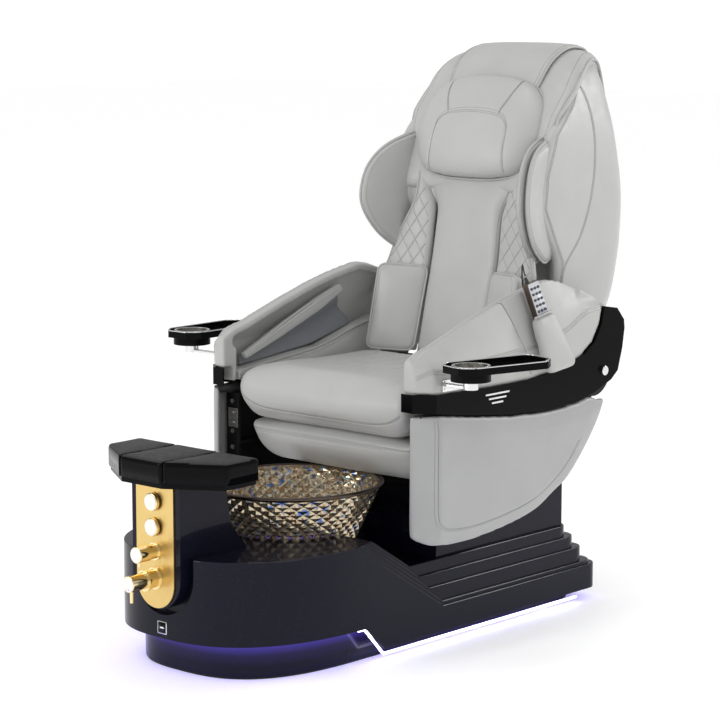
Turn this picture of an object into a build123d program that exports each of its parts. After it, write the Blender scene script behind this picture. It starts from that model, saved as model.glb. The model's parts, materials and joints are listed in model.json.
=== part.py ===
from build123d import *
import math
import os

# Pedicure spa chair. Millimetres, +Z up, the footrest points to -Y, the sitter's left is +X.
# The origin is on the floor, in the middle of the width, near the middle of the length.

# ---------------------------------------------------------------- driving dimensions
WALL = 6.0                       # thickness of the base moulding
BASE_HALF_WIDTH = 300.0
NOSE_DEPTH = 428.0               # from the nose centre line to the nose front
NOSE_Y = -280.0                  # where the rounded nose meets the straight sides
NOSE_POWER = 2.6                 # squareness of the rounded nose
SKIRT_Z = 90.0                   # underside of the skirt at the nose
REAR_SKIRT_Z = 30.0
EDGE_R = 2.5                     # rounding of the steps and the deck rim
DECK_Z = 290.0
SLOPE_TOP_Y = -355.0             # where the deck rim starts to fall
SLOPE_RUN = 313.0 / 195.0        # horizontal run of the fall for each unit of height
TIER_TOPS = [95.0, 105.0, 144.0, 176.0, 206.0]
TIER_INSETS = [0.0, 6.0, 13.0, 20.0, 27.0]
TIER_REARS = [600.0, 586.0, 558.0, 532.0, 506.0]
TIER_SHIFT = 20.0                # each tier's slope starts this much further back
PEDESTAL_Z = 360.0
PEDESTAL_HALF_WIDTH = 262.0
PEDESTAL_REAR = 480.0

PLINTH_HALF_WIDTH = 255.0
PLINTH_Z = 97.0
PLATE_T = 5.0

COLUMN_HALF = 80.0
COLUMN_FRONT = -724.0
COLUMN_TOP = 463.5
GROOVE_HALF = 97.0
GROOVE_BACK = -688.0
U_CENTRE_Z = 244.0
PANEL_HALF = 62.0
PANEL_T = 4.0
PANEL_FACE = COLUMN_FRONT - PANEL_T
BUTTON_Z = (420.0, 360.0)
DIVERTER_Z = 302.0
MIXER_Z = 238.0

BOWL_Y = -262.0
BOWL_RIM_Z = 397.0
BOWL_FOOT_Z = 245.0
BOWL_RIM = (213.0, 226.0)        # half axes at the rim, across and along
BOWL_FOOT = (146.0, 156.0)
GLASS = 8.0

RUN_FIT = 0.05                   # radial clearance of every shaft in its bore
FOOTREST_Z = 464.0
POST_X = 45.0
POST_Y = -652.0
POST_R = 10.0
POST_FOOT_Z = 322.0

SEAT_HALF = 284.0
RECLINE = (375.0, 530.0)         # y, z of the recline axis
RECLINE_SHAFT_R = 10.0

RAIL_LOW = (508.0, 690.0)        # y, z of the massage rails' lower fixing
RAIL_HIGH = (572.0, 1210.0)
RAIL_DIR = Vector(0, RAIL_HIGH[0] - RAIL_LOW[0], RAIL_HIGH[1] - RAIL_LOW[1]).normalized()
RAIL_END = 12.0                  # how far the rails stand past their fixings

DRAIN_Z = 127.0                  # height of the waste pipe's outlet
WING_FLARE = 10.0                # degrees by which the shoulder wings open towards the sitter
PILLOW_HALF = 195.0

ARM_PIVOT = (496.0, 626.0)       # y, z of the arm's lifting axis
ARM_PIN_R = 8.0
ARM_IN = 300.0
ARM_OUT = 372.0
HUB_R = 70.0
PANEL_NOTCH_R = 73.0

TRAY_PIVOTS = {"left": (455.0, -133.0), "right": (-482.0, -136.0)}   # x, y of each tray's swivel
TRAY_ANGLES = {"left": -14.0, "right": 2.0}                          # turn of each tray at rest
TRAY_Z = 700.0
TRAY_TOP = 718.0
CUP_R = 42.0
WELL_Z = 680.0                   # underside of the tray's cup well
SWIVEL_R = 6.0

REMOTE_MOUTH = Vector(376.0, 236.0, 790.0)
REMOTE_AXIS = Vector(-0.267, -0.178, 0.946)
REMOTE_FACE = Vector(0.964, -0.049, 0.262)
REMOTE_SIZE = (18.0, 46.0, 150.0)
REMOTE_TOP = 90.0                # from the pocket's mouth to the remote's top end

CORD_D = 3.6
CORD_ROUTE = [
    (346.4, 208.6, 891.0), (343.0, 206.2, 903.0), (334.0, 215.0, 914.0), (320.0, 230.0, 916.0),
    (308.0, 244.0, 906.0), (299.0, 256.0, 888.0), (292.0, 266.0, 866.0), (287.0, 277.0, 840.0),
    (284.5, 295.0, 813.0), (284.0, 330.0, 790.0), (284.5, 372.0, 777.0), (288.5, 407.0, 773.0),
    (297.0, 430.0, 774.0),
]


# ---------------------------------------------------------------- shared shapes
def side_prism(points, x0, x1):
    """Solid from x0 to x1 with an outline of (y, z) points."""
    face = Plane.YZ * make_face(Polyline(*points, close=True))
    return Pos(x0, 0, 0) * extrude(face, x1 - x0)


def plan_prism(points, z0, z1):
    """Solid from z0 to z1 with an outline of (x, y) points."""
    face = make_face(Polyline(*points, close=True))
    return Pos(0, 0, z0) * extrude(face, z1 - z0)


def block(x0, x1, y0, y1, z0, z1):
    return Pos((x0 + x1) / 2, (y0 + y1) / 2, (z0 + z1) / 2) * Box(x1 - x0, y1 - y0, z1 - z0)


def rod(start, end, radius):
    """Round bar from one point to another."""
    a, b = Vector(*start), Vector(*end)
    length = (b - a).length
    return Plane(origin=a, z_dir=b - a) * Cylinder(radius, length, align=(Align.CENTER, Align.CENTER, Align.MIN))


def mirrored(shape):
    return mirror(shape, about=Plane.YZ)


def both_sides(shape):
    return Compound(children=[shape, mirrored(shape)])


def boat_outline(half, depth, nose_y, power, rear_y, corner):
    """Plan outline with a rounded nose, straight sides and a rear with rounded corners."""
    nose = []
    for i in range(17):
        t = math.pi * i / 16
        c, s = math.cos(t), math.sin(t)
        x = half * math.copysign(abs(c) ** (2 / power), c)
        nose.append((x, nose_y - depth * abs(s) ** (2 / power)))
    k = corner * (1 - math.sqrt(0.5))
    edges = Spline(*nose, tangents=((0, -1), (0, 1)))
    edges += Line((-half, nose_y), (-half, rear_y - corner))
    edges += ThreePointArc((-half, rear_y - corner), (-half + k, rear_y - k), (-half + corner, rear_y))
    edges += Line((-half + corner, rear_y), (half - corner, rear_y))
    edges += ThreePointArc((half - corner, rear_y), (half - k, rear_y - k), (half, rear_y - corner))
    edges += Line((half, rear_y - corner), (half, nose_y))
    return make_face(edges)


# ---------------------------------------------------------------- base
def tier(index, grow):
    """One step of the base moulding; grow shrinks it on every outer side to make the hollow."""
    inset = TIER_INSETS[index] + grow
    rear = TIER_REARS[index] - grow
    top = TIER_TOPS[index] - grow
    deck = DECK_Z - grow
    deck_y = SLOPE_TOP_Y + TIER_SHIFT * index - grow
    foot_y = deck_y + (deck - top) * SLOPE_RUN
    low = 0.0 if grow else REAR_SKIRT_Z
    side = [(-800, SKIRT_Z), (-330, SKIRT_Z), (-262, low), (800, low), (800, top)]
    if grow or index:
        side = [(-800, 0), (800, 0), (800, top)]
    if index and not grow:
        side = [(-800, SKIRT_Z), (800, SKIRT_Z), (800, top)]
    side += [(foot_y, top), (deck_y, deck), (-800, deck)]
    plan = boat_outline(BASE_HALF_WIDTH - inset, NOSE_DEPTH - inset, NOSE_Y, NOSE_POWER, rear, 45.0)
    step = side_prism(side, -400, 400) & extrude(plan, 400)
    if grow:
        return step
    rim = [e for e in step.edges() if e.bounding_box().min.Z > top - 1 and e.bounding_box().size.Y > 1]
    return fillet(rim, EDGE_R)


def pedestal(grow):
    """Raised part behind the bowl that carries the seat."""
    half = PEDESTAL_HALF_WIDTH - grow
    side = [(-30 + grow, 200), (-22 + grow, DECK_Z), (32 + grow, PEDESTAL_Z - grow)]
    side += [(PEDESTAL_REAR - grow, PEDESTAL_Z - grow), (PEDESTAL_REAR - grow, 200)]
    return side_prism(side, -half, half)


def u_plate(half, top, centre_z, y0, y1):
    """Upright plate with a round lower end."""
    plate = block(-half, half, y0, y1, centre_z, top)
    return plate + rod((0, y0, centre_z), (0, y1, centre_z), half)


def make_base_shell():
    outer = pedestal(0)
    hollow = pedestal(WALL)
    for index in range(len(TIER_TOPS)):
        outer += tier(index, 0)
        hollow += tier(index, WALL)
    groove_wall = block(-115, 115, -700, -676, 135, DECK_Z) & tier(0, 1)
    shell = outer - hollow + groove_wall
    shell -= u_plate(GROOVE_HALF, 330, U_CENTRE_Z, -760, GROOVE_BACK)
    shoulder = plan_prism([(-GROOVE_HALF, -760), (GROOVE_HALF, -760), (GROOVE_HALF, GROOVE_BACK),
                           (-GROOVE_HALF, GROOVE_BACK)], 270, 330)
    shell -= shoulder
    well = bowl_solid(1.0, BOWL_FOOT_Z - 60, BOWL_RIM_Z)
    shell -= well & block(-400, 400, -600, 200, 0, DECK_Z + 1)
    shell -= rod((-110, 500, DRAIN_Z), (-110, 700, DRAIN_Z), 13.3)
    for x in (95, 150):
        shell -= rod((x, 500, 122), (x, 700, 122), 10.8)
    shell -= block(178, 206, 520, 620, 112, 132)
    return shell


def make_base_plate():
    plan = boat_outline(PLINTH_HALF_WIDTH - 3, 386, -264, 2.84, 536, 40)
    return extrude(plan, PLATE_T)


def make_plinth():
    plan = boat_outline(PLINTH_HALF_WIDTH, 389, -264, 2.84, 540, 40)
    room = boat_outline(PLINTH_HALF_WIDTH - 8, 381, -264, 2.84, 532, 34)
    body = Pos(0, 0, PLATE_T) * extrude(plan, PLINTH_Z - PLATE_T)
    return body - Pos(0, 0, PLATE_T) * extrude(room, PLINTH_Z - PLATE_T - 5)


def make_led_strip():
    outer = boat_outline(PLINTH_HALF_WIDTH + 4, 393, -264, 2.84, 544, 44)
    inner = boat_outline(PLINTH_HALF_WIDTH, 389, -264, 2.84, 540, 40)
    ring = extrude(outer, 7) - extrude(inner, 7)
    return Pos(0, 0, 86) * ring


def make_base_frame():
    """Four steel posts under the seat rails and the tube that holds the bowl."""
    posts = [block(x - 20, x + 20, y - 20, y + 20, PLINTH_Z, PEDESTAL_Z - WALL)
             for x in (-180, 180) for y in (70, 420)]
    tube = Pos(0, BOWL_Y, (PLINTH_Z + BOWL_FOOT_Z) / 2) * (
        Cylinder(70, BOWL_FOOT_Z - PLINTH_Z) - Cylinder(64, BOWL_FOOT_Z - PLINTH_Z))
    tube -= block(-24, 24, BOWL_Y + 40, BOWL_Y + 90, 97, 160)
    return Compound(children=posts + [tube])


def bowl_solid(grow, z0, z1):
    """Tapered oval solid of the bowl's outside, made larger by grow all round."""
    def half_axes(z):
        f = (z - BOWL_FOOT_Z) / (BOWL_RIM_Z - BOWL_FOOT_Z)
        return [BOWL_FOOT[i] + f * (BOWL_RIM[i] - BOWL_FOOT[i]) + grow for i in (0, 1)]
    low = Pos(0, BOWL_Y, z0) * Ellipse(*half_axes(z0))
    high = Pos(0, BOWL_Y, z1) * Ellipse(*half_axes(z1))
    return loft([low, high], ruled=True)


def make_bowl():
    glass = bowl_solid(0, BOWL_FOOT_Z, BOWL_RIM_Z) - bowl_solid(-GLASS, BOWL_FOOT_Z + 12, BOWL_RIM_Z + 1)
    return glass - Pos(0, BOWL_Y, BOWL_FOOT_Z) * Cylinder(22, 40)


def make_drain_strainer():
    body = Pos(0, BOWL_Y, BOWL_FOOT_Z + 6) * Cylinder(21.9, 12)
    flange = Pos(0, BOWL_Y, BOWL_FOOT_Z + 13) * Cylinder(30, 2)
    strainer = body + flange
    for i in range(8):
        a = math.radians(45 * i)
        strainer -= Pos(13 * math.cos(a), BOWL_Y + 13 * math.sin(a), BOWL_FOOT_Z + 7) * Cylinder(2.5, 20)
    return strainer


def make_drain_pipe():
    """Waste pipe from under the bowl to the spigot at the rear."""
    path = FilletPolyline((0, BOWL_Y, BOWL_FOOT_Z), (0, BOWL_Y, DRAIN_Z), (0, 60, DRAIN_Z),
                          (-110, 170, DRAIN_Z), (-110, 560, DRAIN_Z), radius=[40, 40, 40])
    pipe = sweep(Plane(origin=path @ 0, z_dir=path % 0) * Circle(13), path=path)
    flange = rod((-110, 558.3, DRAIN_Z), (-110, 563, DRAIN_Z), 20)
    return pipe + flange + rod((-110, 563, DRAIN_Z), (-110, 588, DRAIN_Z), 16)


def make_water_inlets():
    pipes = []
    for x in (95, 150):
        pipe = rod((x, 470, 122), (x, 560, 122), 8) + rod((x, 558.3, 122), (x, 563, 122), 15)
        pipes.append(pipe + rod((x, 563, 122), (x, 586, 122), 10.48))
    return Compound(children=pipes)


def make_power_inlet():
    body = block(178.3, 205.7, 530, 562, 112.3, 131.7) + block(174, 210, 558.1, 561, 108, 136)
    socket = block(181, 203, 545, 570, 115, 129)
    pins = [block(191.5 + d, 193.5 + d, 545, 556, 119, 125) for d in (-6, -1, 4)]
    return body - socket + pins[0] + pins[1] + pins[2]


def make_discharge_pump():
    motor = rod((60, 180, 140), (60, 300, 140), 42)
    foot = block(25, 95, 190, 290, PLINTH_Z, 112)
    head = rod((60, 150, 140), (60, 180, 140), 34)
    return motor + foot + head


def make_jet_housing():
    """Whirlpool jet on the bowl's floor, open at its rim slots and its top grille."""
    z = BOWL_FOOT_Z + 12
    cup = Pos(0, -352, z + 13) * Cylinder(40, 26) - Pos(0, -352, z + 13) * Cylinder(36, 20)
    for i in range(12):
        cup -= Pos(0, -352, z + 13) * Rot(0, 0, 30 * i) * Pos(38, 0, 0) * Box(12, 9, 12)
    cup -= Pos(0, -352, z + 24) * Cylinder(3 + RUN_FIT, 8)
    return cup


def make_jet_impeller():
    z = BOWL_FOOT_Z + 25
    wheel = Pos(0, -352, z - 4) * Cylinder(30, 3) + Pos(0, -352, z + 2) * Cylinder(3, 19)
    for i in range(6):
        wheel += Pos(0, -352, z + 1) * Rot(0, 0, 60 * i) * Pos(15, 0, 0) * Box(27, 2, 8)
    return wheel


# ---------------------------------------------------------------- column, panel and valves
def make_footrest_column():
    front = u_plate(COLUMN_HALF, COLUMN_TOP, U_CENTRE_Z, COLUMN_FRONT, GROOVE_BACK)
    rear = side_prism([(GROOVE_BACK, DECK_Z), (-506, DECK_Z), (-530, 312), (-556, 350), (-570, 410),
                       (-576, COLUMN_TOP), (GROOVE_BACK, COLUMN_TOP)], -COLUMN_HALF, COLUMN_HALF)
    column = front + rear
    for x in (-POST_X, POST_X):
        column -= Pos(x, POST_Y, 390) * Cylinder(POST_R + RUN_FIT, 150)
    for z in BUTTON_Z:
        column -= rod((0, COLUMN_FRONT - 1, z), (0, COLUMN_FRONT + 24, z), 8)
    for z in (DIVERTER_Z, MIXER_Z):
        column -= rod((0, COLUMN_FRONT - 1, z), (0, COLUMN_FRONT + 26, z), 12)
    return column


def make_control_panel():
    plate = u_plate(PANEL_HALF, 461, 229, PANEL_FACE, COLUMN_FRONT)
    for z in BUTTON_Z:
        plate -= rod((0, -740, z), (0, -700, z), 6 + RUN_FIT)
    for z in (DIVERTER_Z, MIXER_Z):
        plate -= rod((0, -740, z), (0, -700, z), 12)
    return plate


def make_button(z):
    """Push button: a domed disc standing off the panel on a stem."""
    disc = rod((0, PANEL_FACE - 13, z), (0, PANEL_FACE - 5, z), 21.5)
    disc = fillet(disc.edges().sort_by(Axis.Y)[0], 2)
    return disc + rod((0, PANEL_FACE - 6, z), (0, COLUMN_FRONT + 16, z), 6)


def make_valve_bodies():
    """Fixed cartridge bodies and their cover rings."""
    diverter = rod((0, PANEL_FACE - 26, DIVERTER_Z), (0, COLUMN_FRONT + 26, DIVERTER_Z), 12)
    diverter += rod((0, PANEL_FACE - 4, DIVERTER_Z), (0, PANEL_FACE, DIVERTER_Z), 21)
    diverter += rod((0, PANEL_FACE - 26, DIVERTER_Z), (0, PANEL_FACE - 4, DIVERTER_Z), 17)
    mixer = rod((0, PANEL_FACE - 42, MIXER_Z), (0, COLUMN_FRONT + 26, MIXER_Z), 12)
    mixer += rod((0, PANEL_FACE - 5, MIXER_Z), (0, PANEL_FACE, MIXER_Z), 26)
    mixer += rod((0, PANEL_FACE - 30, MIXER_Z), (0, PANEL_FACE - 5, MIXER_Z), 22)
    mixer += rod((0, PANEL_FACE - 38, MIXER_Z), (0, PANEL_FACE - 30, MIXER_Z), 25)
    mixer += rod((0, PANEL_FACE - 42, MIXER_Z), (0, PANEL_FACE - 38, MIXER_Z), 20)
    diverter -= rod((0, PANEL_FACE - 30, DIVERTER_Z), (0, PANEL_FACE - 6, DIVERTER_Z), 5 + RUN_FIT)
    mixer -= rod((0, PANEL_FACE - 50, MIXER_Z), (0, PANEL_FACE - 20, MIXER_Z), 5 + RUN_FIT)
    return Compound(children=[diverter, mixer])


def make_knob(z, back_y, length, lever):
    """Round handle with a small lever hanging from its rim."""
    body = rod((0, back_y - length, z), (0, back_y, z), 19.5)
    body = fillet(body.edges().sort_by(Axis.Y)[0], 1.5)
    stem = rod((0, back_y - 1, z), (0, back_y + 16, z), 5)
    lever_y = back_y - length + 11
    arm = rod((0, lever_y, z - 15), (0, lever_y, z - 19.5 - lever), 4)
    return body + stem + arm


def make_water_spout():
    path = FilletPolyline((0, -568, 425), (0, -535, 425), (0, -520, 408), radius=[9])
    pipe = sweep(Plane(origin=path @ 0, z_dir=path % 0) * Circle(9), path=path)
    return pipe + rod((0, -570, 425), (0, -564, 425), 17) - make_footrest_column()


# ---------------------------------------------------------------- footrest
FOOTREST_PLAN = [(-200, -584), (-200, -689), (-70, -772), (70, -772), (200, -689), (200, -584)]


def make_footrest_carrier():
    """Carrier plate with the two posts that slide in the column."""
    carrier = plan_prism([(x * 0.96, y * 0.96 - 27) for x, y in FOOTREST_PLAN], FOOTREST_Z, FOOTREST_Z + 12)
    for x in (-POST_X, POST_X):
        carrier += Pos(x, POST_Y, (POST_FOOT_Z + FOOTREST_Z) / 2) * Cylinder(POST_R, FOOTREST_Z - POST_FOOT_Z)
    return carrier


def make_footrest_pads():
    z0, z1 = FOOTREST_Z + 12, 527
    centre = plan_prism([(-69.5, -584), (-69.5, -772), (69.5, -772), (69.5, -584)], z0, z1)
    side = plan_prism([(70.5, -584), (70.5, -771.7), (200, -689), (200, -584)], z0, z1)
    return Compound(children=[centre, side, mirrored(side)])


# ---------------------------------------------------------------- seat
def make_seat_rails():
    rail = block(168, 192, 20, 460, PEDESTAL_Z, 378)
    return both_sides(rail)


def make_seat_frame():
    """Sliding pan, seat board and the ears that carry the recline shaft and the side frames."""
    pan = block(-250, 250, 62, 440, 392, 397)
    sliders = [block(s * 180 - 12, s * 180 + 12, 62, 420, 378.3, 392) for s in (-1, 1)]
    board = block(-270, 270, -20, 320, 504, 510)
    legs = [block(s * 200 - 10, s * 200 + 10, y - 10, y + 10, 397, 504) for s in (-1, 1) for y in (76, 300)]
    y, z = RECLINE
    ears = [side_prism([(y - 45, 397), (y + 45, 397), (y + 22, z), (y + 14, z + 18), (y - 14, z + 18),
                        (y - 22, z)], s * 230 - 5, s * 230 + 5) for s in (-1, 1)]
    cross = [block(-340, 340, y0, y0 + 24, 397, 421) for y0 in (64, 250)]
    frame = pan + board + cross[0] + cross[1]
    for piece in sliders + legs + ears:
        frame += piece
    return frame + rod((-235, y, z), (235, y, z), RECLINE_SHAFT_R)


def make_recline_motor():
    """Geared motor on the recline shaft, held by the seat pan."""
    y, z = RECLINE
    box = block(-60, 60, y - 45, y + 40, 430, z + 16)
    can = rod((60, y - 10, 460), (170, y - 10, 460), 28)
    foot = block(-50, 50, y - 45, y + 30, 397, 430)
    return box + can + foot - rod((-235, y, z), (235, y, z), RECLINE_SHAFT_R)


def make_seat_cushion():
    side = [(-122, 512), (318, 511), (318, 640), (60, 645), (-120, 650), (-165, 637), (-180, 608),
            (-176, 567), (-155, 530)]
    return side_prism(side, -SEAT_HALF, SEAT_HALF)


def make_seat_front_pad():
    side = [(-22, 499), (-22, 405), (-62, 404), (-95, 425), (-118, 466), (-124, 499)]
    return side_prism(side, -SEAT_HALF + 8, SEAT_HALF - 8)


SIDE_PROFILE = [(-203, 592), (-203, 310), (-190, 282), (-150, 271), (-31, 267), (113, 280), (224, 302),
                (299, 338), (352, 363), (413, 417), (475, 490), (513, 558), (541, 606), (463, 569),
                (385, 553), (270, 548), (121, 556), (-22, 571), (-161, 592)]


def make_side_panels():
    """Upholstered lower side panels, notched round the arm pivot."""
    y, z = ARM_PIVOT
    plan = [(335, -203), (377, -161), (377, 560), (357, 560), (357, -153), (321, -189)]
    panel = side_prism(SIDE_PROFILE, 315, 377) & plan_prism(plan, 250, 620)
    return both_sides(panel - rod((350, y, z), (380, y, z), PANEL_NOTCH_R))


def make_side_frames():
    """Pressed steel channels inside the side panels, with the hub that carries the arm."""
    profile = [(-145, 576), (-145, 400), (-60, 340), (60, 330), (224, 345), (330, 400), (440, 505),
               (470, 545), (385, 545), (270, 540), (121, 548), (-22, 563), (-120, 576)]
    web = side_prism(profile, 340, 346)
    flange = block(303, 346, -145, -139, 410, 570) + block(303, 346, -139, 380, 438, 444)
    y, z = ARM_PIVOT
    hub = rod((338, y, z), (349.5, y, z), HUB_R)
    link = side_prism([(380, 480), (440, 640), (540, 640), (470, 520)], 340, 346)
    frame = web + flange + (link - block(300, 400, 300, 600, 640, 700)) + hub
    frame += block(346, 357, 100, 160, 460, 500) + block(346, 357, -120, -80, 460, 500)
    frame -= rod((330, y, z), (352, y, z), ARM_PIN_R)
    return both_sides(frame)


def make_frame_bolts():
    """Hex bolts and the hinge bracket on the front of each side frame."""
    bolts = []
    for z in (548, 470, 428):
        bolts.append(rod((324, -149, z), (324, -145, z), 6))
    bracket = block(306, 338, -148, -145, 480, 530)
    for z in (492, 518):
        bracket += rod((322, -151, z), (322, -148, z), 4)
    group = bolts + [bracket]
    return Compound(children=group + [mirrored(piece) for piece in group])


def make_arm_pivot_pins():
    y, z = ARM_PIVOT
    pin = rod((338, y, z), (386, y, z), ARM_PIN_R)
    cap = fillet(rod((376.8, y, z), (386, y, z), 12.5).edges().sort_by(Axis.X)[-1], 2)
    return both_sides(pin + cap)


# ---------------------------------------------------------------- back
PAD_FRONT = [(335, 646), (366, 768), (398, 891), (414, 1000), (436, 1110), (478, 1230), (530, 1345)]


def offset_strip(points, near, far):
    """Closed (y, z) outline between two copies of a line moved along y."""
    front = [(y + near, z) for y, z in points]
    rear = [(y + far, z) for y, z in points]
    return front + rear[::-1]


def make_back_pad():
    return side_prism(offset_strip(PAD_FRONT, 0, 35), -95, 95)


def make_bolsters():
    return both_sides(side_prism(offset_strip(PAD_FRONT, -12, 35), 95.5, 201))


def make_lumbar_pads():
    return both_sides(side_prism([(292, 656), (350, 872), (377, 872), (321, 656)], 114, 240))


def make_shoulder_wings():
    leaf = [(408, 895), (337, 965), (294, 1044), (294, 1120), (317, 1169), (423, 1219), (470, 1170),
            (462, 1040), (440, 950)]
    pivot = Pos(222, 470, 0)
    return both_sides(pivot * Rot(0, 0, WING_FLARE) * pivot.inverse() * side_prism(leaf, 212, 232))


def make_head_pillow():
    side = [(404, 1104), (384, 1125), (392, 1185), (428, 1262), (470, 1335), (496, 1362), (514, 1362),
            (504, 1335), (460, 1225), (422, 1118)]
    return side_prism(side, -PILLOW_HALF, PILLOW_HALF)


FLAP_LINE = [(530, 1375), (566, 1424), (626, 1446), (680, 1449), (706, 1436), (730, 1390), (752, 1330)]


def make_top_flap():
    inner = [(y - 6, z - 10) for y, z in FLAP_LINE[1:-1]]
    ring = FLAP_LINE + [(742, 1328)] + inner[::-1] + [(538, 1366)]
    return side_prism(ring, -152, 152)


SHELL_LEVELS = [
    # z, front y, rear y, half width
    (640, 458, 640, 240), (700, 450, 690, 252), (790, 448, 745, 260), (900, 458, 775, 262),
    (959, 420, 783, 262), (1039, 376, 787, 262), (1115, 386, 781, 260), (1224, 438, 762, 252),
    (1296, 515, 745, 241), (1345, 545, 733, 230), (1390, 572, 716, 212), (1418, 582, 694, 186),
]


def shell_section(z, front, rear, half, grow):
    """Plan outline of the back cover at one height: flat sides and a bowed rear."""
    half -= grow
    rear -= grow
    side_rear = rear - 88
    front_y = front - (60 if grow else 0)
    edges = Line((-half, side_rear), (-half, front_y))
    edges += Line((-half, front_y), (half, front_y))
    edges += Line((half, front_y), (half, side_rear))
    edges += ThreePointArc((half, side_rear), (0, rear), (-half, side_rear))
    return Pos(0, 0, z) * make_face(edges)


def make_back_shell():
    outer = loft([shell_section(*level, 0) for level in SHELL_LEVELS], ruled=True)
    levels = [(630, 458, 632, 238)] + SHELL_LEVELS[1:-1] + [(1406, 578, 700, 192)]
    inner = loft([shell_section(*level, 12) for level in levels], ruled=True)
    return outer - inner


def make_back_frame():
    """Pressed back plate with side arms down to the recline shaft and feet for the rails."""
    y, z = RECLINE
    plate = side_prism([(524, 640), (594, 1236), (598, 1236), (528, 640)], -205, 205)
    arm = side_prism([(y - 22, z), (y - 16, z + 18), (y + 120, z + 125), (528, 720), (537, 720),
                      (530, 620), (y + 20, z - 12)], 205, 217)
    arm += rod((205, y, z), (217, y, z), 22)
    frame = plate + arm + mirrored(arm)
    for fy, fz in (RAIL_LOW, RAIL_HIGH):
        for x in (-120, 120):
            foot = side_prism([(fy - 4, fz - 12), (fy + 30, fz - 12), (fy + 30, fz + 12), (fy - 4, fz + 12)],
                              x - 12, x + 12)
            frame += foot - side_prism([(528, 640), (598, 1236), (660, 1236), (660, 640)], -300, 300)
    frame -= rod((-260, y, z), (260, y, z), RECLINE_SHAFT_R + RUN_FIT)
    for x in (-120, 120):
        low = Vector(x, *RAIL_LOW) - RAIL_DIR * RAIL_END
        high = Vector(x, *RAIL_HIGH) + RAIL_DIR * RAIL_END
        frame += rod(low, high, 7)
    return frame


def carriage_plane():
    """Frame at the carriage's lowest place: x across, z up the rails, y away from the sitter."""
    start = (0, RAIL_LOW[0] + 55 * RAIL_DIR.Y, RAIL_LOW[1] + 55 * RAIL_DIR.Z)
    return Plane(origin=start, x_dir=(1, 0, 0), z_dir=RAIL_DIR)


def make_massage_carriage():
    """Sliding block on the rails with the cheeks that hold the roller axle."""
    place = carriage_plane()
    body = Box(290, 16, 60)
    for x in (-120, 120):
        body -= Pos(x, 0, 0) * Cylinder(7 + RUN_FIT, 80)
    for x in (-120, 120):
        body += Pos(x, 0, 0) * (Box(30, 24, 60) - Cylinder(7 + RUN_FIT, 60))
    for x in (-80, 80):
        body += Pos(x, -30, 0) * Box(8, 46, 24)
    bore = Rot(0, 90, 0) * Cylinder(6 + RUN_FIT, 200)
    body -= Pos(0, -42, 0) * bore
    return place * body


def make_massage_rollers():
    place = carriage_plane()
    axle = Rot(0, 90, 0) * Cylinder(6, 184)
    rollers = axle
    for x in (-45, 45):
        rollers += Pos(x, 0, 0) * fillet((Rot(0, 90, 0) * Cylinder(30, 26)).edges(), 6)
    for x in (-89, 89):
        rollers += Pos(x, 0, 0) * Rot(0, 90, 0) * Cylinder(9, 8)
    return place * (Pos(0, -42, 0) * rollers)


# ---------------------------------------------------------------- arms (left side; the right is mirrored)
BAND_TOP = [(-203, 641), (48, 636), (194, 637), (344, 653), (421, 677), (460, 702), (490, 746), (501, 791)]
BAND_REAR = [(556, 782), (586, 749), (589, 727), (580, 675), (562, 619)]
BAND_BOTTOM = [(534, 598), (463, 572), (385, 556), (270, 551), (121, 559), (-22, 574), (-161, 595),
               (-203, 597)]
# y, height of the outer seam, height of the ridge
ROOF_LINE = [(-165, 697, 741), (-114, 693, 754), (24, 703, 801), (142, 711, 837), (211, 716, 854),
             (316, 737, 873), (361, 751, 866), (434, 785, 842), (500, 793, 816)]


def xz_face(points, y):
    return Plane.XZ.offset(-y) * make_face(Polyline(*points, close=True))


def roof_section(y, seam, ridge):
    points = [(ARM_OUT, seam), (330, ridge), (ARM_IN, ridge - 6), (ARM_IN, ridge - 24), (322, ridge - 24),
              (352, seam + 1), (352, seam - 8), (ARM_OUT, seam - 8)]
    if ridge - seam < 40:
        points[4] = (322, min(ridge - 24, seam - 1))
        points[3] = (ARM_IN, min(ridge - 24, seam - 1))
        points[5] = (352, seam - 4)
    return xz_face(points, y)


def make_arm_shell():
    """Padded roof, outer wall, front end and rear end of the arm round the forearm channel."""
    y, z = ARM_PIVOT
    roof = loft([roof_section(*station) for station in ROOF_LINE], ruled=True)
    wall = side_prism([(-158, 602), (-22, 580), (121, 565), (270, 557), (385, 562), (418, 572), (418, 772),
                       (342, 738), (185, 708), (119, 706), (-134, 690), (-158, 692)], 350, 365.5)
    skin = side_prism([(-165, 642), (48, 637), (194, 638), (344, 654), (420, 678), (459, 703), (489, 747),
                       (499, 788), (449, 787), (434, 777), (342, 734), (185, 708), (119, 706), (-134, 690),
                       (-165, 694)], 350, ARM_OUT)
    front_face = [(ARM_IN, 642), (333, 642), (333, 700), (322, 722), (ARM_IN, 716)]
    front_rear = [(ARM_IN, 642), (ARM_OUT, 642), (ARM_OUT, 697), (330, 741), (ARM_IN, 735)]
    front = loft([xz_face(front_face, -200), xz_face(front_rear, -165)], ruled=True)
    front += block(ARM_IN, 358, -165, -150, 602, 690)
    rear = side_prism([(425, 700), (425, 826), (434, 840), (500, 814), (556, 780), (580, 748), (582, 727),
                       (574, 680), (560, 640), (425, 640)], ARM_IN, 350)
    rear -= rod((290, y, z), (360, y, z), 78)
    shell = roof + wall + skin + front + rear
    return shell - rod((340, y, z), (380, y, z), 42)


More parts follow.
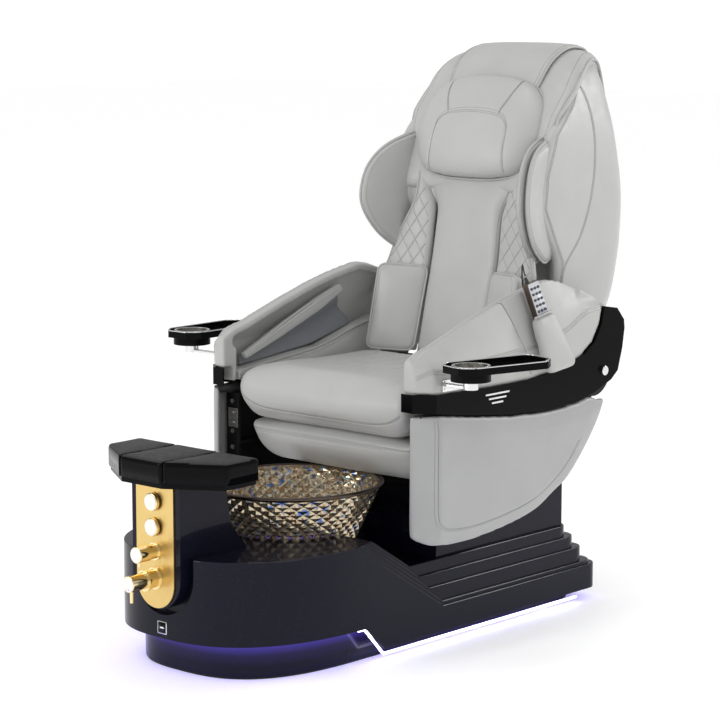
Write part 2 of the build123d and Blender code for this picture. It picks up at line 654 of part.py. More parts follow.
def make_arm_band():
    """Gloss band round the outside and the front of the arm, with the boss on the lifting axis."""
    y, z = ARM_PIVOT
    plan = [(ARM_IN, -205), (335, -205), (376, -164), (376, 600), (366, 600), (366, -160), (331, -195),
            (331, -200.1), (ARM_IN, -200.1)]
    strip = plan_prism(plan, 540, 800) & side_prism(
        [(-230, 641)] + BAND_TOP + BAND_REAR + BAND_BOTTOM + [(-230, 597)], 200, 400)
    boss = rod((350, y, z), (367, y, z), 40)
    return strip + boss - rod((340, y, z), (380, y, z), ARM_PIN_R + RUN_FIT)


def make_arm_pads():
    """Upper flap pad and lower pad of the forearm channel."""
    flap = [(-128, 670), (24, 738), (150, 790), (236, 820), (250, 800), (150, 752), (30, 706), (-120, 655)]
    lower = [(-149, 606), (-22, 586), (121, 571), (270, 563), (375, 568), (400, 600), (396, 722),
            (300, 700), (151, 660), (-39, 640), (-149, 628)]
    return Compound(children=[side_prism(flap, 297, 317), side_prism(lower, 297, 349.5)])


def make_tray_bracket(side):
    """Screwed plate on the arm, with the strap and swivel pin under the tray's well."""
    px, py = TRAY_PIVOTS[side]
    px = abs(px)
    bracket = block(ARM_OUT, ARM_OUT + 3, -140, -50, 645, 673)
    for y in (-131, -59):
        for z in (651, 667):
            bracket += rod((ARM_OUT + 2, y, z), (ARM_OUT + 5, y, z), 3.5)
    bracket += block(ARM_OUT + 3, px + 10, py - 10, py + 10, 660, 666)
    bracket += Pos(px, py, 669.5) * Cylinder(18, 20)
    bracket += Pos(px, py, 682) * Cylinder(SWIVEL_R, 6)
    return bracket if side == "left" else mirrored(bracket)


def tray_place(side):
    return Pos(*TRAY_PIVOTS[side], 0) * Rot(0, 0, TRAY_ANGLES[side])


# Outline of the left tray about its swivel: the inner side is towards -x.
TRAY_PLAN = [(-62, -26), (-62, 208), (-44, 222), (22, 222), (56, 188), (56, -26), (30, -58), (-34, -58)]


def make_tray(side):
    """Shallow tray with a raised rim and a closed well for the cup."""
    inner = [(x * 0.91, y * 0.955) for x, y in TRAY_PLAN]
    body = plan_prism(TRAY_PLAN, TRAY_Z, TRAY_TOP)
    body = fillet(body.edges().filter_by(Axis.Z), 8)
    body -= plan_prism(inner, TRAY_Z + 6, TRAY_TOP + 1)
    well_top = TRAY_TOP - 3
    body += Pos(0, 0, (WELL_Z + well_top) / 2) * Cylinder(CUP_R + 6, well_top - WELL_Z)
    body -= Pos(0, 0, WELL_Z + 4 + 20) * Cylinder(CUP_R, 40)
    body -= Pos(0, 0, WELL_Z) * Cylinder(SWIVEL_R + RUN_FIT, 20)
    return tray_place(side) * (body if side == "left" else mirrored(body))


def make_cup_insert(side):
    low, top = WELL_Z + 5.5, TRAY_TOP - 3
    body = Pos(0, 0, (low + top) / 2) * Cylinder(CUP_R - 0.1, top - low)
    body += Pos(0, 0, top + 1.25) * Cylinder(CUP_R + 4, 2.5)
    return tray_place(side) * (body - Pos(0, 0, low + 2 + 25) * Cylinder(CUP_R - 2, 50))


# ---------------------------------------------------------------- remote
def remote_plane(distance):
    """Frame on the remote's long axis: x out of its face, z towards its cord end."""
    return Plane(origin=REMOTE_MOUTH + REMOTE_AXIS * distance, x_dir=REMOTE_FACE, z_dir=REMOTE_AXIS)


def make_remote_body():
    t, w, length = REMOTE_SIZE
    body = Box(t, w, length, align=(Align.CENTER, Align.CENTER, Align.MAX))
    return remote_plane(REMOTE_TOP) * fillet(body.edges().filter_by(Axis.Z), 3)


def make_remote_keypad():
    """Five rows of keys moulded in one soft sheet under the face."""
    keys = []
    for row in range(5):
        z = -17 - 15 * row
        for column in (-13, 0, 13):
            keys.append(Pos(9.75, column, z) * Box(1.5, 9, 7))
    return Compound(children=[remote_plane(REMOTE_TOP) * key for key in keys])


def make_strain_relief():
    cone = Pos(0, -10, 0) * Cone(5.5, 3.2, 14, align=(Align.CENTER, Align.CENTER, Align.MIN))
    return remote_plane(REMOTE_TOP) * cone


def make_remote_holster():
    """Pocket round the remote's lower end, with a tongue up over the arm."""
    lower = Plane(origin=(400, 276, 640), x_dir=REMOTE_FACE, z_dir=REMOTE_AXIS) * Rectangle(30, 78)
    upper = remote_plane(0) * Rectangle(26, 62)
    pocket = loft([lower, upper], ruled=True)
    t, w, length = REMOTE_SIZE
    room = Box(t + 0.6, w + 0.6, length + 0.3, align=(Align.CENTER, Align.CENTER, Align.MAX))
    pocket -= remote_plane(REMOTE_TOP) * room
    return pocket - make_arm_shell() - make_arm_band()


def cord_radii():
    """Bend radius at each inner corner of the cord's route."""
    points = [Vector(*p) for p in CORD_ROUTE]
    radii = []
    for a, b, c in zip(points, points[1:], points[2:]):
        half_turn = math.radians((b - a).get_angle(c - b)) / 2
        radii.append(0.45 * min((b - a).length, (c - b).length) / math.tan(half_turn))
    print("cord radii", [round(r, 1) for r in radii])
    return radii


def make_remote_cord():
    path = FilletPolyline(*CORD_ROUTE, radius=cord_radii())
    cord = sweep(Plane(origin=path @ 0, z_dir=path % 0) * Circle(CORD_D / 2), path=path)
    print("cord length", round(path.length, 1), "volume ratio",
          round(cord.volume / (path.length * math.pi * CORD_D ** 2 / 4), 4))
    return cord


def make_cord_gland():
    end, before = Vector(*CORD_ROUTE[-1]), Vector(*CORD_ROUTE[-2])
    away = (end - before).normalized()
    return rod(end, end + away * 16, 6) - make_arm_shell()


# ---------------------------------------------------------------- write every node
def make_nodes():
    arm_parts = {"arm_shell": make_arm_shell(), "arm_band": make_arm_band(), "arm_pads": make_arm_pads()}
    nodes = {
        "base_plate": make_base_plate(), "plinth": make_plinth(), "led_strip": make_led_strip(),
        "base_shell": make_base_shell(), "base_frame": make_base_frame(), "bowl": make_bowl(),
        "drain_strainer": make_drain_strainer(), "drain_pipe": make_drain_pipe(),
        "water_inlets": make_water_inlets(), "power_inlet": make_power_inlet(),
        "discharge_pump": make_discharge_pump(),
        "jet_housing": make_jet_housing(), "jet_impeller": make_jet_impeller(),
        "footrest_column": make_footrest_column(), "control_panel": make_control_panel(),
        "jet_button": make_button(BUTTON_Z[0]), "drain_button": make_button(BUTTON_Z[1]),
        "valve_bodies": make_valve_bodies(),
        "diverter_knob": make_knob(DIVERTER_Z, PANEL_FACE - 26.3, 34, 10),
        "mixer_handle": make_knob(MIXER_Z, PANEL_FACE - 42.3, 44, 26),
        "water_spout": make_water_spout(),
        "footrest_carrier": make_footrest_carrier(), "footrest_pads": make_footrest_pads(),
        "seat_rails": make_seat_rails(), "seat_frame": make_seat_frame(),
        "recline_motor": make_recline_motor(),
        "seat_cushion": make_seat_cushion(), "seat_front_pad": make_seat_front_pad(),
        "side_panels": make_side_panels(), "side_frames": make_side_frames(),
        "frame_bolts": make_frame_bolts(), "arm_pivot_pins": make_arm_pivot_pins(),
        "back_frame": make_back_frame(),
        "massage_carriage": make_massage_carriage(), "massage_rollers": make_massage_rollers(),
        "back_pad": make_back_pad(), "bolsters": make_bolsters(), "lumbar_pads": make_lumbar_pads(),
        "shoulder_wings": make_shoulder_wings(), "head_pillow": make_head_pillow(),
        "top_flap": make_top_flap(), "back_shell": make_back_shell(),
    }
    for name, shape in arm_parts.items():
        nodes[name + "_left"] = shape
        nodes[name + "_right"] = mirrored(shape)
    for side in TRAY_PIVOTS:
        nodes["tray_bracket_" + side] = make_tray_bracket(side)
        nodes["tray_" + side] = make_tray(side)
        nodes["cup_insert_" + side] = make_cup_insert(side)
    nodes["remote_body"] = make_remote_body()
    nodes["remote_keypad"] = make_remote_keypad()
    nodes["remote_holster"] = make_remote_holster()
    nodes["strain_relief"] = make_strain_relief()
    nodes["remote_cord"] = make_remote_cord()
    nodes["cord_gland"] = make_cord_gland()
    return nodes


os.makedirs("parts", exist_ok=True)
for node_name, node_shape in make_nodes().items():
    export_step(node_shape, f"parts/{node_name}.step")
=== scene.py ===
import math

import bmesh
import bpy
import numpy as np
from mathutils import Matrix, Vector
from mathutils.bvhtree import BVHTree
from mathutils.kdtree import KDTree
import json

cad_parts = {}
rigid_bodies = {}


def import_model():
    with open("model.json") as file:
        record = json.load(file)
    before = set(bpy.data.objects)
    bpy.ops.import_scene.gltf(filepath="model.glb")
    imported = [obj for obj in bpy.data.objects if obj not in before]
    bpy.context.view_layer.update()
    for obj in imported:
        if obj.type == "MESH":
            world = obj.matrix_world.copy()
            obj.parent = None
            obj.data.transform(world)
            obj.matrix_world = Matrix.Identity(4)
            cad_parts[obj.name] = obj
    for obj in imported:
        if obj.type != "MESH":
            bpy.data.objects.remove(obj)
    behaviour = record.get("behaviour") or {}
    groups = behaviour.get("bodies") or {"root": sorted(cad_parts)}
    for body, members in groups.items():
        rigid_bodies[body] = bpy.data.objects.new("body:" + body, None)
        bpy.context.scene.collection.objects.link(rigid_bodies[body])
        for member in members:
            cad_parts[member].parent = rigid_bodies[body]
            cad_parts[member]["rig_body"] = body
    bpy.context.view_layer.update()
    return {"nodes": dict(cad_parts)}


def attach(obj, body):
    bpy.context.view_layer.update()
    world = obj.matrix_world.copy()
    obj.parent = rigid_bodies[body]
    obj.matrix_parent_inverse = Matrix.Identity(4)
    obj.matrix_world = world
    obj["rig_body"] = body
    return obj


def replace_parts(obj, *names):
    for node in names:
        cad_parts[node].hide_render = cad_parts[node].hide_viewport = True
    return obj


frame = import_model()
MM = 0.001                       # outlines below are in millimetres, meshes in metres
SIDES = ((1, "left"), (-1, "right"))


# ---------------------------------------------------------------- node materials
def new_material(name, color, rough, metallic=0.0, **sockets):
    """Principled material; further sockets are given by name."""
    material = bpy.data.materials.new(name)
    material.use_nodes = True
    shader = material.node_tree.nodes["Principled BSDF"]
    shader.inputs["Base Color"].default_value = (*color, 1)
    shader.inputs["Roughness"].default_value = rough
    shader.inputs["Metallic"].default_value = metallic
    for socket, value in sockets.items():
        shader.inputs[socket.replace("_", " ")].default_value = value
    return material


def add(material, kind, **settings):
    node = material.node_tree.nodes.new(kind)
    for key, value in settings.items():
        if key in node.bl_rna.properties:
            setattr(node, key, value)
        else:
            node.inputs[key.replace("_", " ")].default_value = value
    return node


def wire(material, source, output, target, socket):
    if isinstance(target, str):
        target = material.node_tree.nodes[target]
    material.node_tree.links.new(source.outputs[output], target.inputs[socket])


def object_space(material, scale=(1, 1, 1)):
    coords = add(material, "ShaderNodeTexCoord")
    mapping = add(material, "ShaderNodeMapping")
    mapping.inputs["Scale"].default_value = scale
    wire(material, coords, "Object", mapping, "Vector")
    return mapping


def noise(material, space, scale, detail=3.0, roughness=0.5):
    node = add(material, "ShaderNodeTexNoise", Scale=scale, Detail=detail, Roughness=roughness)
    wire(material, space, "Vector", node, "Vector")
    return node


def cells(material, space, scale, **settings):
    node = add(material, "ShaderNodeTexVoronoi", Scale=scale, **settings)
    wire(material, space, "Vector", node, "Vector")
    return node


def ramp(material, source, output, stops):
    """Colour ramp driven by an output; stops are (place, colour) pairs."""
    node = add(material, "ShaderNodeValToRGB")
    wire(material, source, output, node, "Fac")
    elements = node.color_ramp.elements
    while len(elements) < len(stops):
        elements.new(0.5)
    for element, (place, color) in zip(elements, stops):
        element.position = place
        element.color = (*color, 1)
    return node


def grey(value):
    return (value, value, value)


def color_variation(material, space, color, amount, scale):
    """Base colour that drifts a little in brightness."""
    soft = noise(material, space, scale, 4.0)
    dark = tuple(c * (1 - amount) for c in color)
    light = tuple(min(1, c * (1 + amount)) for c in color)
    colors = ramp(material, soft, "Fac", [(0.3, dark), (0.7, light)])
    wire(material, colors, "Color", "Principled BSDF", "Base Color")


def rough_variation(material, space, low, high, scale):
    spots = noise(material, space, scale, 5.0)
    values = ramp(material, spots, "Fac", [(0.35, grey(low)), (0.65, grey(high))])
    wire(material, values, "Color", "Principled BSDF", "Roughness")


def bump(material, source, output, strength, distance, below=None):
    node = add(material, "ShaderNodeBump", Strength=strength, Distance=distance)
    wire(material, source, output, node, "Height")
    if below:
        wire(material, below, "Normal", node, "Normal")
    wire(material, node, "Normal", "Principled BSDF", "Normal")
    return node


def soft_edges(material, radius):
    """Rounded look on sharp CAD edges."""
    edge = add(material, "ShaderNodeBevel", samples=6, Radius=radius)
    wire(material, edge, "Normal", "Principled BSDF", "Normal")
    return edge


def leather(name, color, rough=0.42, grain=0.16):
    """Coated leather: pebble grain, pores, fine creases and a slight change of shade."""
    material = new_material(name, color, rough, Sheen_Weight=0.12, Coat_Weight=0.08, Coat_Roughness=0.35)
    space = object_space(material)
    color_variation(material, space, color, 0.035, 9.0)
    rough_variation(material, space, rough - 0.05, rough + 0.06, 40.0)
    grains = cells(material, space, 620.0, feature="SMOOTH_F1", Smoothness=0.7)
    pebbles = bump(material, grains, "Distance", grain, 0.0006)
    creases = noise(material, space, 55.0, 6.0, 0.62)
    bump(material, creases, "Fac", grain * 0.7, 0.0012, pebbles)
    return material


def gloss_base(name):
    """Navy black gel coat with sparse metallic flecks under a clear coat."""
    color = (0.0042, 0.0043, 0.0115)
    material = new_material(name, color, 0.2, Coat_Weight=0.2, Coat_Roughness=0.03, Coat_IOR=1.5,
                            Specular_IOR_Level=0.06)
    space = object_space(material)
    flecks = cells(material, space, 420.0)
    dots = ramp(material, flecks, "Distance", [
        (0.0, (0.42, 0.45, 0.62)), (0.085, (0.04, 0.045, 0.1)), (0.13, color)])
    wire(material, dots, "Color", "Principled BSDF", "Base Color")
    edge = soft_edges(material, 0.0022)
    normal = add(material, "ShaderNodeNewGeometry")
    split = add(material, "ShaderNodeSeparateXYZ")
    wire(material, normal, "Normal", split, "Vector")
    polish = ramp(material, split, "Z", [
        (0.16, grey(0.2)), (0.3, grey(1.0)), (0.85, grey(1.0)), (0.97, grey(0.2))])
    wire(material, polish, "Color", "Principled BSDF", "Coat Weight")
    waves = noise(material, space, 7.0, 2.0)
    bump(material, waves, "Fac", 0.03, 0.004, edge)
    return material


def plinth_painted_glow(name, top, reach):
    """Gloss gel coat with painted light: an emission ramp paints the light strip's violet glow along its
    upper edge.
    """
    material = gloss_base(name)
    space = object_space(material)
    split = add(material, "ShaderNodeSeparateXYZ")
    wire(material, space, "Vector", split, "Vector")
    place = add(material, "ShaderNodeMapRange")
    place.inputs["From Min"].default_value = top - reach
    place.inputs["From Max"].default_value = top
    wire(material, split, "Z", place, "Value")
    # painted glow: emission colour that grows to violet and white towards the upper edge
    colors = ramp(material, place, "Result", [
        (0.0, grey(0.0)), (0.35, (0.012, 0.009, 0.05)), (0.72, (0.06, 0.04, 0.36)),
        (0.93, (0.25, 0.2, 1.0)), (1.0, (0.75, 0.72, 1.0))])
    wire(material, colors, "Color", "Principled BSDF", "Emission Color")
    material.node_tree.nodes["Principled BSDF"].inputs["Emission Strength"].default_value = 1.0
    return material


def metal(name, color, rough, brushed=None, edge=0.0008):
    """Metal with brushing along one axis, or fine wear where polished."""
    material = new_material(name, color, rough, 1.0)
    space = object_space(material, brushed or (1, 1, 1))
    marks = noise(material, space, 260.0 if brushed else 60.0, 6.0, 0.6)
    spread = 0.1 if brushed else 0.04
    values = ramp(material, marks, "Fac", [
        (0.3, grey(max(0.02, rough - spread))), (0.7, grey(rough + spread))])
    wire(material, values, "Color", "Principled BSDF", "Roughness")
    rounded = soft_edges(material, edge)
    bump(material, marks, "Fac", 0.12 if brushed else 0.03, 0.0003, rounded)
    return material


def plastic(name, color, rough, grain=0.1, edge=0.0015, coat=0.0, shine=0.5):
    """Moulded plastic or paint with an orange-peel skin."""
    material = new_material(name, color, rough, Coat_Weight=coat, Coat_Roughness=0.05,
                            Specular_IOR_Level=shine)
    space = object_space(material)
    color_variation(material, space, color, 0.06, 30.0)
    rough_variation(material, space, max(0.02, rough - 0.05), rough + 0.06, 90.0)
    rounded = soft_edges(material, edge)
    skin = noise(material, space, 900.0, 2.0)
    bump(material, skin, "Fac", grain, 0.0003, rounded)
    return material


def bowl_glass(name):
    """Faceted glass with a thin amber and blue mirror film."""
    material = new_material(name, (0.55, 0.42, 0.28), 0.05, 0.8, IOR=1.5, Coat_Weight=0.6,
                            Coat_Roughness=0.02)
    space = object_space(material)
    film = noise(material, space, 42.0, 2.0, 0.6)
    colors = ramp(material, film, "Fac", [
        (0.34, (0.06, 0.15, 0.45)), (0.42, (0.42, 0.34, 0.22)), (0.50, (0.66, 0.58, 0.42)),
        (0.57, (0.34, 0.20, 0.10)), (0.64, (0.52, 0.46, 0.33)), (0.73, (0.34, 0.56, 0.68))])
    wire(material, colors, "Color", "Principled BSDF", "Base Color")
    shiver = cells(material, space, 110.0)
    bump(material, shiver, "Distance", 0.25, 0.0015)
    return material


def glow(name, strength, low=(0.08, 0.06, 1.0), high=(0.3, 0.22, 1.0)):
    """Light strip whose colour drifts between two violets."""
    material = new_material(name, (0.25, 0.22, 0.9), 0.4)
    space = object_space(material)
    spread = noise(material, space, 14.0, 2.0)
    colors = ramp(material, spread, "Fac", [(0.3, low), (0.7, high)])
    wire(material, colors, "Color", "Principled BSDF", "Emission Color")
    material.node_tree.nodes["Principled BSDF"].inputs["Emission Strength"].default_value = strength
    return material


LEATHER_COLOR = (0.42, 0.42, 0.409)
MATERIALS = {
    "leather": leather("leather_grey", LEATHER_COLOR),
    "leather_side": leather("leather_panel", (0.425, 0.43, 0.42), 0.4, 0.13),
    # painted shade: a darker copy of the grey leather for the seat's side panels
    "leather_shaded_copy": leather("leather_painted_shade_copy", (0.335, 0.34, 0.335), 0.4, 0.13),
    # painted shade: a dark bluish copy of the leather for the recessed gusset
    "leather_recess_shade": leather("leather_painted_recess_shade", (0.20, 0.21, 0.23), 0.5),
    "seam": leather("leather_seam", (0.20, 0.20, 0.20), 0.6, 0.1),
    "thread": plastic("stitch_thread", (0.30, 0.30, 0.29), 0.7, 0.3),
    "piping": leather("leather_piping", (0.40, 0.40, 0.39), 0.38, 0.1),
    "base": gloss_base("gloss_navy"),
    # the plinth's emission paints the light strip's glow onto it
    "plinth": plinth_painted_glow("gloss_plinth_painted_glow", 0.105, 0.075),
    "black_gloss": plastic("gloss_black", (0.0028, 0.0029, 0.0033), 0.12, 0.01, 0.002, 0.09, 0.02),
    "black_satin": plastic("black_powder_coat", (0.008, 0.008, 0.009), 0.42, 0.35, shine=0.2),
    "black_matte": plastic("black_moulded", (0.02, 0.02, 0.021), 0.5, 0.25),
    "gold_brushed": metal("gold_brushed", (0.68, 0.49, 0.19), 0.34, (3, 3, 0.05), 0.0004),
    "gold": metal("gold_polished", (0.86, 0.70, 0.40), 0.09),
    "cream": plastic("cream_enamel", (0.83, 0.80, 0.72), 0.18, 0.02, 0.001, 0.8),
    "steel": metal("steel_satin", (0.62, 0.61, 0.58), 0.24, (0.05, 3, 3)),
    "chrome": metal("chrome", (0.78, 0.78, 0.78), 0.08),
    "cast": metal("cast_aluminium", (0.38, 0.39, 0.4), 0.45),
    "grey_plastic": plastic("grey_plastic", (0.42, 0.43, 0.44), 0.45, 0.2),
    "glass": bowl_glass("iridescent_glass"),
    "led_white": glow("light_edge", 9.0, (0.42, 0.38, 1.0), (0.8, 0.78, 1.0)),
    "led": glow("light_strip", 30.0),
    "foot_top": plastic("foam_charcoal", (0.024, 0.023, 0.023), 0.46, 0.6, shine=0.3),
    "remote": plastic("remote_silver", (0.62, 0.63, 0.66), 0.28, 0.05, 0.0008, 0.3),
    "bronze": metal("remote_bronze", (0.11, 0.085, 0.07), 0.32),
    "key": plastic("key_rubber", (0.035, 0.042, 0.06), 0.45, 0.1),
    "cord": plastic("cord_sheath", (0.01, 0.01, 0.01), 0.5, 0.3),
    "white": plastic("white_enamel", (0.85, 0.85, 0.86), 0.3, 0.05),
}


# ---------------------------------------------------------------- mesh tools
FRONTWARD = (0, 1, 0)            # ray direction that reaches a surface from the sitter's side
FROM_REAR = (0, -1, 0)
DOWNWARD = (0, 0, -1)


def ring_faces(rings, size, start=0):
    """Quads between successive closed rings of points."""
    faces = []
    for i in range(start, start + (rings - 1) * size, size):
        for k in range(size):
            m = (k + 1) % size
            faces.append((i + k, i + m, i + size + m, i + size + k))
    return faces


def new_object(name, data):
    piece = bpy.data.objects.new(name, data)
    bpy.context.scene.collection.objects.link(piece)
    return piece


def make_object(name, points, faces, body, material, slot, smooth=True):
    """Mesh object from points in millimetres, riding on a body."""
    mesh = bpy.data.meshes.new(name)
    mesh.from_pydata([tuple(float(c) * MM for c in p) for p in points], [], [list(f) for f in faces])
    mesh.materials.append(MATERIALS[material])
    mesh.validate()
    shape = bmesh.new()
    shape.from_mesh(mesh)
    bmesh.ops.recalc_face_normals(shape, faces=shape.faces)
    shape.to_mesh(mesh)
    shape.free()
    mesh.polygons.foreach_set("use_smooth", [smooth] * len(mesh.polygons))
    piece = new_object(name, mesh)
    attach(piece, body)
    return piece


def smooth_line(points, step, closed=False):
    """Evenly spaced points of a smooth line through the given ones."""
    points = np.array(points, float)
    count = len(points)
    if closed:
        padded = np.vstack([points[-1], points, points[0], points[1]])
        spans = count
    else:
        padded = np.vstack([2 * points[0] - points[1], points, 2 * points[-1] - points[-2]])
        spans = count - 1
    dense = []
    for i in range(spans):
        a, b, c, d = padded[i:i + 4]
        for t in np.linspace(0, 1, 12, endpoint=False):
            dense.append(0.5 * (2 * b + (c - a) * t + (2 * a - 5 * b + 4 * c - d) * t * t
                                + (3 * b - a - 3 * c + d) * t ** 3))
    dense.append(padded[1] if closed else points[-1])
    return resample(dense, step)


def resample(points, step):
    points = np.array(points, float)
    lengths = np.r_[0, np.cumsum(np.linalg.norm(np.diff(points, axis=0), axis=1))]
    places = np.linspace(0, lengths[-1], max(2, int(round(lengths[-1] / step)) + 1))
    return np.column_stack([np.interp(places, lengths, points[:, k]) for k in range(points.shape[1])])


def rounded(points, radius, step=4.0):
    """Closed outline with straight sides and round corners."""
    line = []
    count = len(points)
    for i in range(count):
        before, here, after = (np.array(points[j % count], float) for j in (i - 1, i, i + 1))
        back, on = before - here, after - here
        reach = min(radius, 0.45 * np.linalg.norm(back), 0.45 * np.linalg.norm(on))
        start = here + back / np.linalg.norm(back) * reach
        end = here + on / np.linalg.norm(on) * reach
        for t in np.linspace(0, 1, 7):
            line.append((1 - t) ** 2 * start + 2 * t * (1 - t) * here + t * t * end)
    line.append(line[0])
    return resample(line, step)[:-1]


def apply_modifiers(piece):
    graph = bpy.context.evaluated_depsgraph_get()
    mesh = bpy.data.meshes.new_from_object(piece.evaluated_get(graph))
    old = piece.data
    piece.modifiers.clear()
    piece.data = mesh
    bpy.data.meshes.remove(old)
    mesh.polygons.foreach_set("use_smooth", [True] * len(mesh.polygons))


def remesh(piece, voxel, relax):
    """Even quads of a voxel size in millimetres, smoothed relax times."""
    modifier = piece.modifiers.new("voxels", "REMESH")
    modifier.mode = "VOXEL"
    modifier.voxel_size = voxel * MM
    smoother = piece.modifiers.new("relax", "SMOOTH")
    smoother.iterations = relax
    smoother.factor = 0.5
    apply_modifiers(piece)


def subdivide(piece):
    modifier = piece.modifiers.new("subdivision", "SUBSURF")
    modifier.levels = 1
    modifier.render_levels = 1
    apply_modifiers(piece)


def coordinates(piece):
    flat = np.zeros(len(piece.data.vertices) * 3)
    piece.data.vertices.foreach_get("co", flat)
    return flat.reshape(-1, 3) / MM


def normals(piece):
    flat = np.zeros(len(piece.data.vertices) * 3)
    piece.data.vertices.foreach_get("normal", flat)
    return flat.reshape(-1, 3)


def set_coordinates(piece, points):
    piece.data.vertices.foreach_set("co", (np.asarray(points) * MM).ravel())
    piece.data.update()


CLOTH_FRAMES = 14
SMOOTHING_PASSES = 8


def puff(piece, pressure, cap):
    """Inflates a pad with a cloth simulation, and lets no point move further than cap."""
    start = coordinates(piece)
    cloth = piece.modifiers.new("cloth", "CLOTH")
    settings = cloth.settings
    settings.quality = 4
    settings.mass = 0.4
    settings.tension_stiffness = 18
    settings.compression_stiffness = 18
    settings.bending_stiffness = 2.0
    settings.use_pressure = True
    settings.uniform_pressure_force = pressure
    settings.effector_weights.gravity = 0
    cloth.point_cache.frame_start = 1
    cloth.point_cache.frame_end = CLOTH_FRAMES
    scene = bpy.context.scene
    for step in range(1, CLOTH_FRAMES + 1):
        scene.frame_set(step)
    apply_modifiers(piece)
    scene.frame_set(1)
    moved = coordinates(piece) - start
    length = np.linalg.norm(moved, axis=1, keepdims=True)
    moved *= np.minimum(1, cap / np.maximum(length, 1e-6))
    edges = np.zeros(len(piece.data.edges) * 2, int)
    piece.data.edges.foreach_get("vertices", edges)
    a, b = edges.reshape(-1, 2).T
    count = np.bincount(np.r_[a, b], minlength=len(moved))[:, None] + 1
    for _ in range(SMOOTHING_PASSES):
        total = moved.copy()
        np.add.at(total, a, moved[b])
        np.add.at(total, b, moved[a])
        moved = total / count
    set_coordinates(piece, start + moved)


def distance_to(lines, points):
    """Distance in millimetres of every point from the nearest sample of the lines."""
    samples = np.vstack([resample(line, 1.5) for line in lines])
    tree = KDTree(len(samples))
    for i, p in enumerate(samples):
        tree.insert(Vector(p), i)
    tree.balance()
    return np.array([tree.find(Vector(p))[2] for p in points])


def carve(piece, lines, width, depth):
    """Presses sewn channels into a pad along lines that lie near its surface."""
    points = coordinates(piece)
    samples = np.vstack(lines)
    low, high = samples.min(0) - 4 * width, samples.max(0) + 4 * width
    near = np.all((points > low) & (points < high), axis=1)
    index = np.nonzero(near)[0]
    gap = distance_to(lines, points[index])
    points[index] -= normals(piece)[index] * (depth * np.exp(-(gap / width) ** 2))[:, None]
    set_coordinates(piece, points)
    tree = tree_of(piece)
    bottoms = SEAMS.setdefault(piece["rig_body"], [])
    for line in lines:
        bottoms.append([tree.find_nearest(Vector(p) * MM)[0] / MM for p in line])


def tree_of(piece):
    mesh = piece.data
    places = [v.co.copy() for v in mesh.vertices]
    return BVHTree.FromPolygons(places, [tuple(p.vertices) for p in mesh.polygons])


def drop(piece, line, lift=0.0, toward=None):
    """Moves a line onto a pad's surface; returns places and outward normals."""
    tree = tree_of(piece)
    places, outs = [], []
    for p in line:
        start = Vector(p) * MM
        hit = None
        if toward is not None:
            direction = Vector(toward).normalized()
            hit = tree.ray_cast(start - direction * 0.15, direction)
        if hit is None or hit[0] is None:
            hit = tree.find_nearest(start)
        places.append(np.array(hit[0]) / MM + np.array(hit[1]) * lift)
        outs.append(np.array(hit[1]))
    return np.array(places), np.array(outs)


def onto(piece, line, toward=None):
    """The line's places on a pad's surface."""
    return drop(piece, line, 0, toward)[0]


def tube(name, line, radius, body, material, slot, closed=False, sides=8):
    """Round bead along a line of points in millimetres."""
    line = np.array(line, float)
    count = len(line)
    ahead = np.roll(line, -1, axis=0) - np.roll(line, 1, axis=0) if closed else np.gradient(line, axis=0)
    ahead /= np.maximum(np.linalg.norm(ahead, axis=1, keepdims=True), 1e-9)
    side = np.cross(ahead[0], (0.3, 0.2, 0.93))
    points = []
    for p, t in zip(line, ahead):
        side = side - t * np.dot(side, t)
        side /= np.linalg.norm(side)
        up = np.cross(t, side)
        for k in range(sides):
            a = 2 * math.pi * k / sides
            points.append(p + radius * (math.cos(a) * side + math.sin(a) * up))
    faces = ring_faces(count, sides)
    last = (count - 1) * sides
    if closed:
        faces += [(last + k, last + (k + 1) % sides, (k + 1) % sides, k) for k in range(sides)]
    else:
        faces += [tuple(range(sides)), tuple(range(last, last + sides))]
    return make_object(name, points, faces, body, material, slot)


def welt(name, line, radius, slot="upholstery", body="back", closed=False):
    """Leather piping along a seam."""
    return tube(name, line, radius, body, "piping", slot, closed)


STITCHES = {}                    # body: points and faces of its thread dashes
SEAMS = {}                       # body: lines along the bottoms of its sewn channels
SEAM_RADIUS = 0.42


def stitches(pad, line, body, pitch=6.5, length=4.6, thick=0.85, toward=None):
    """Row of thread dashes on a pad's surface, gathered into one piece for each body."""
    even = resample(line, pitch / 2)
    places, outs = drop(pad, even, 0.15, toward)
    points, faces = STITCHES.setdefault(body, ([], []))
    for i in range(1, len(places) - 1, 2):
        along = places[i + 1] - places[i - 1]
        size = np.linalg.norm(along)
        if size < 1e-6 or size > 3 * pitch:
            continue
        along = along / size
        out = outs[i]
        side = np.cross(along, out)
        centre = places[i]
        base = len(points)
        for end in (-1, 1):
            for s, o in ((-1, 0), (0, 1), (1, 0), (0, -0.6)):
                points.append(centre + along * end * length / 2 + (side * s + out * o) * thick / 2)
        faces += ring_faces(2, 4, base)
        faces.append((base + 3, base + 2, base + 1, base))
        faces.append((base + 4, base + 5, base + 6, base + 7))


def double_row(piece, line, apart, body, toward=None):
    """Two rows of stitching on both sides of a seam."""
    stitches(piece, line + np.array(apart), body, toward=toward)
    stitches(piece, line - np.array(apart), body, toward=toward)


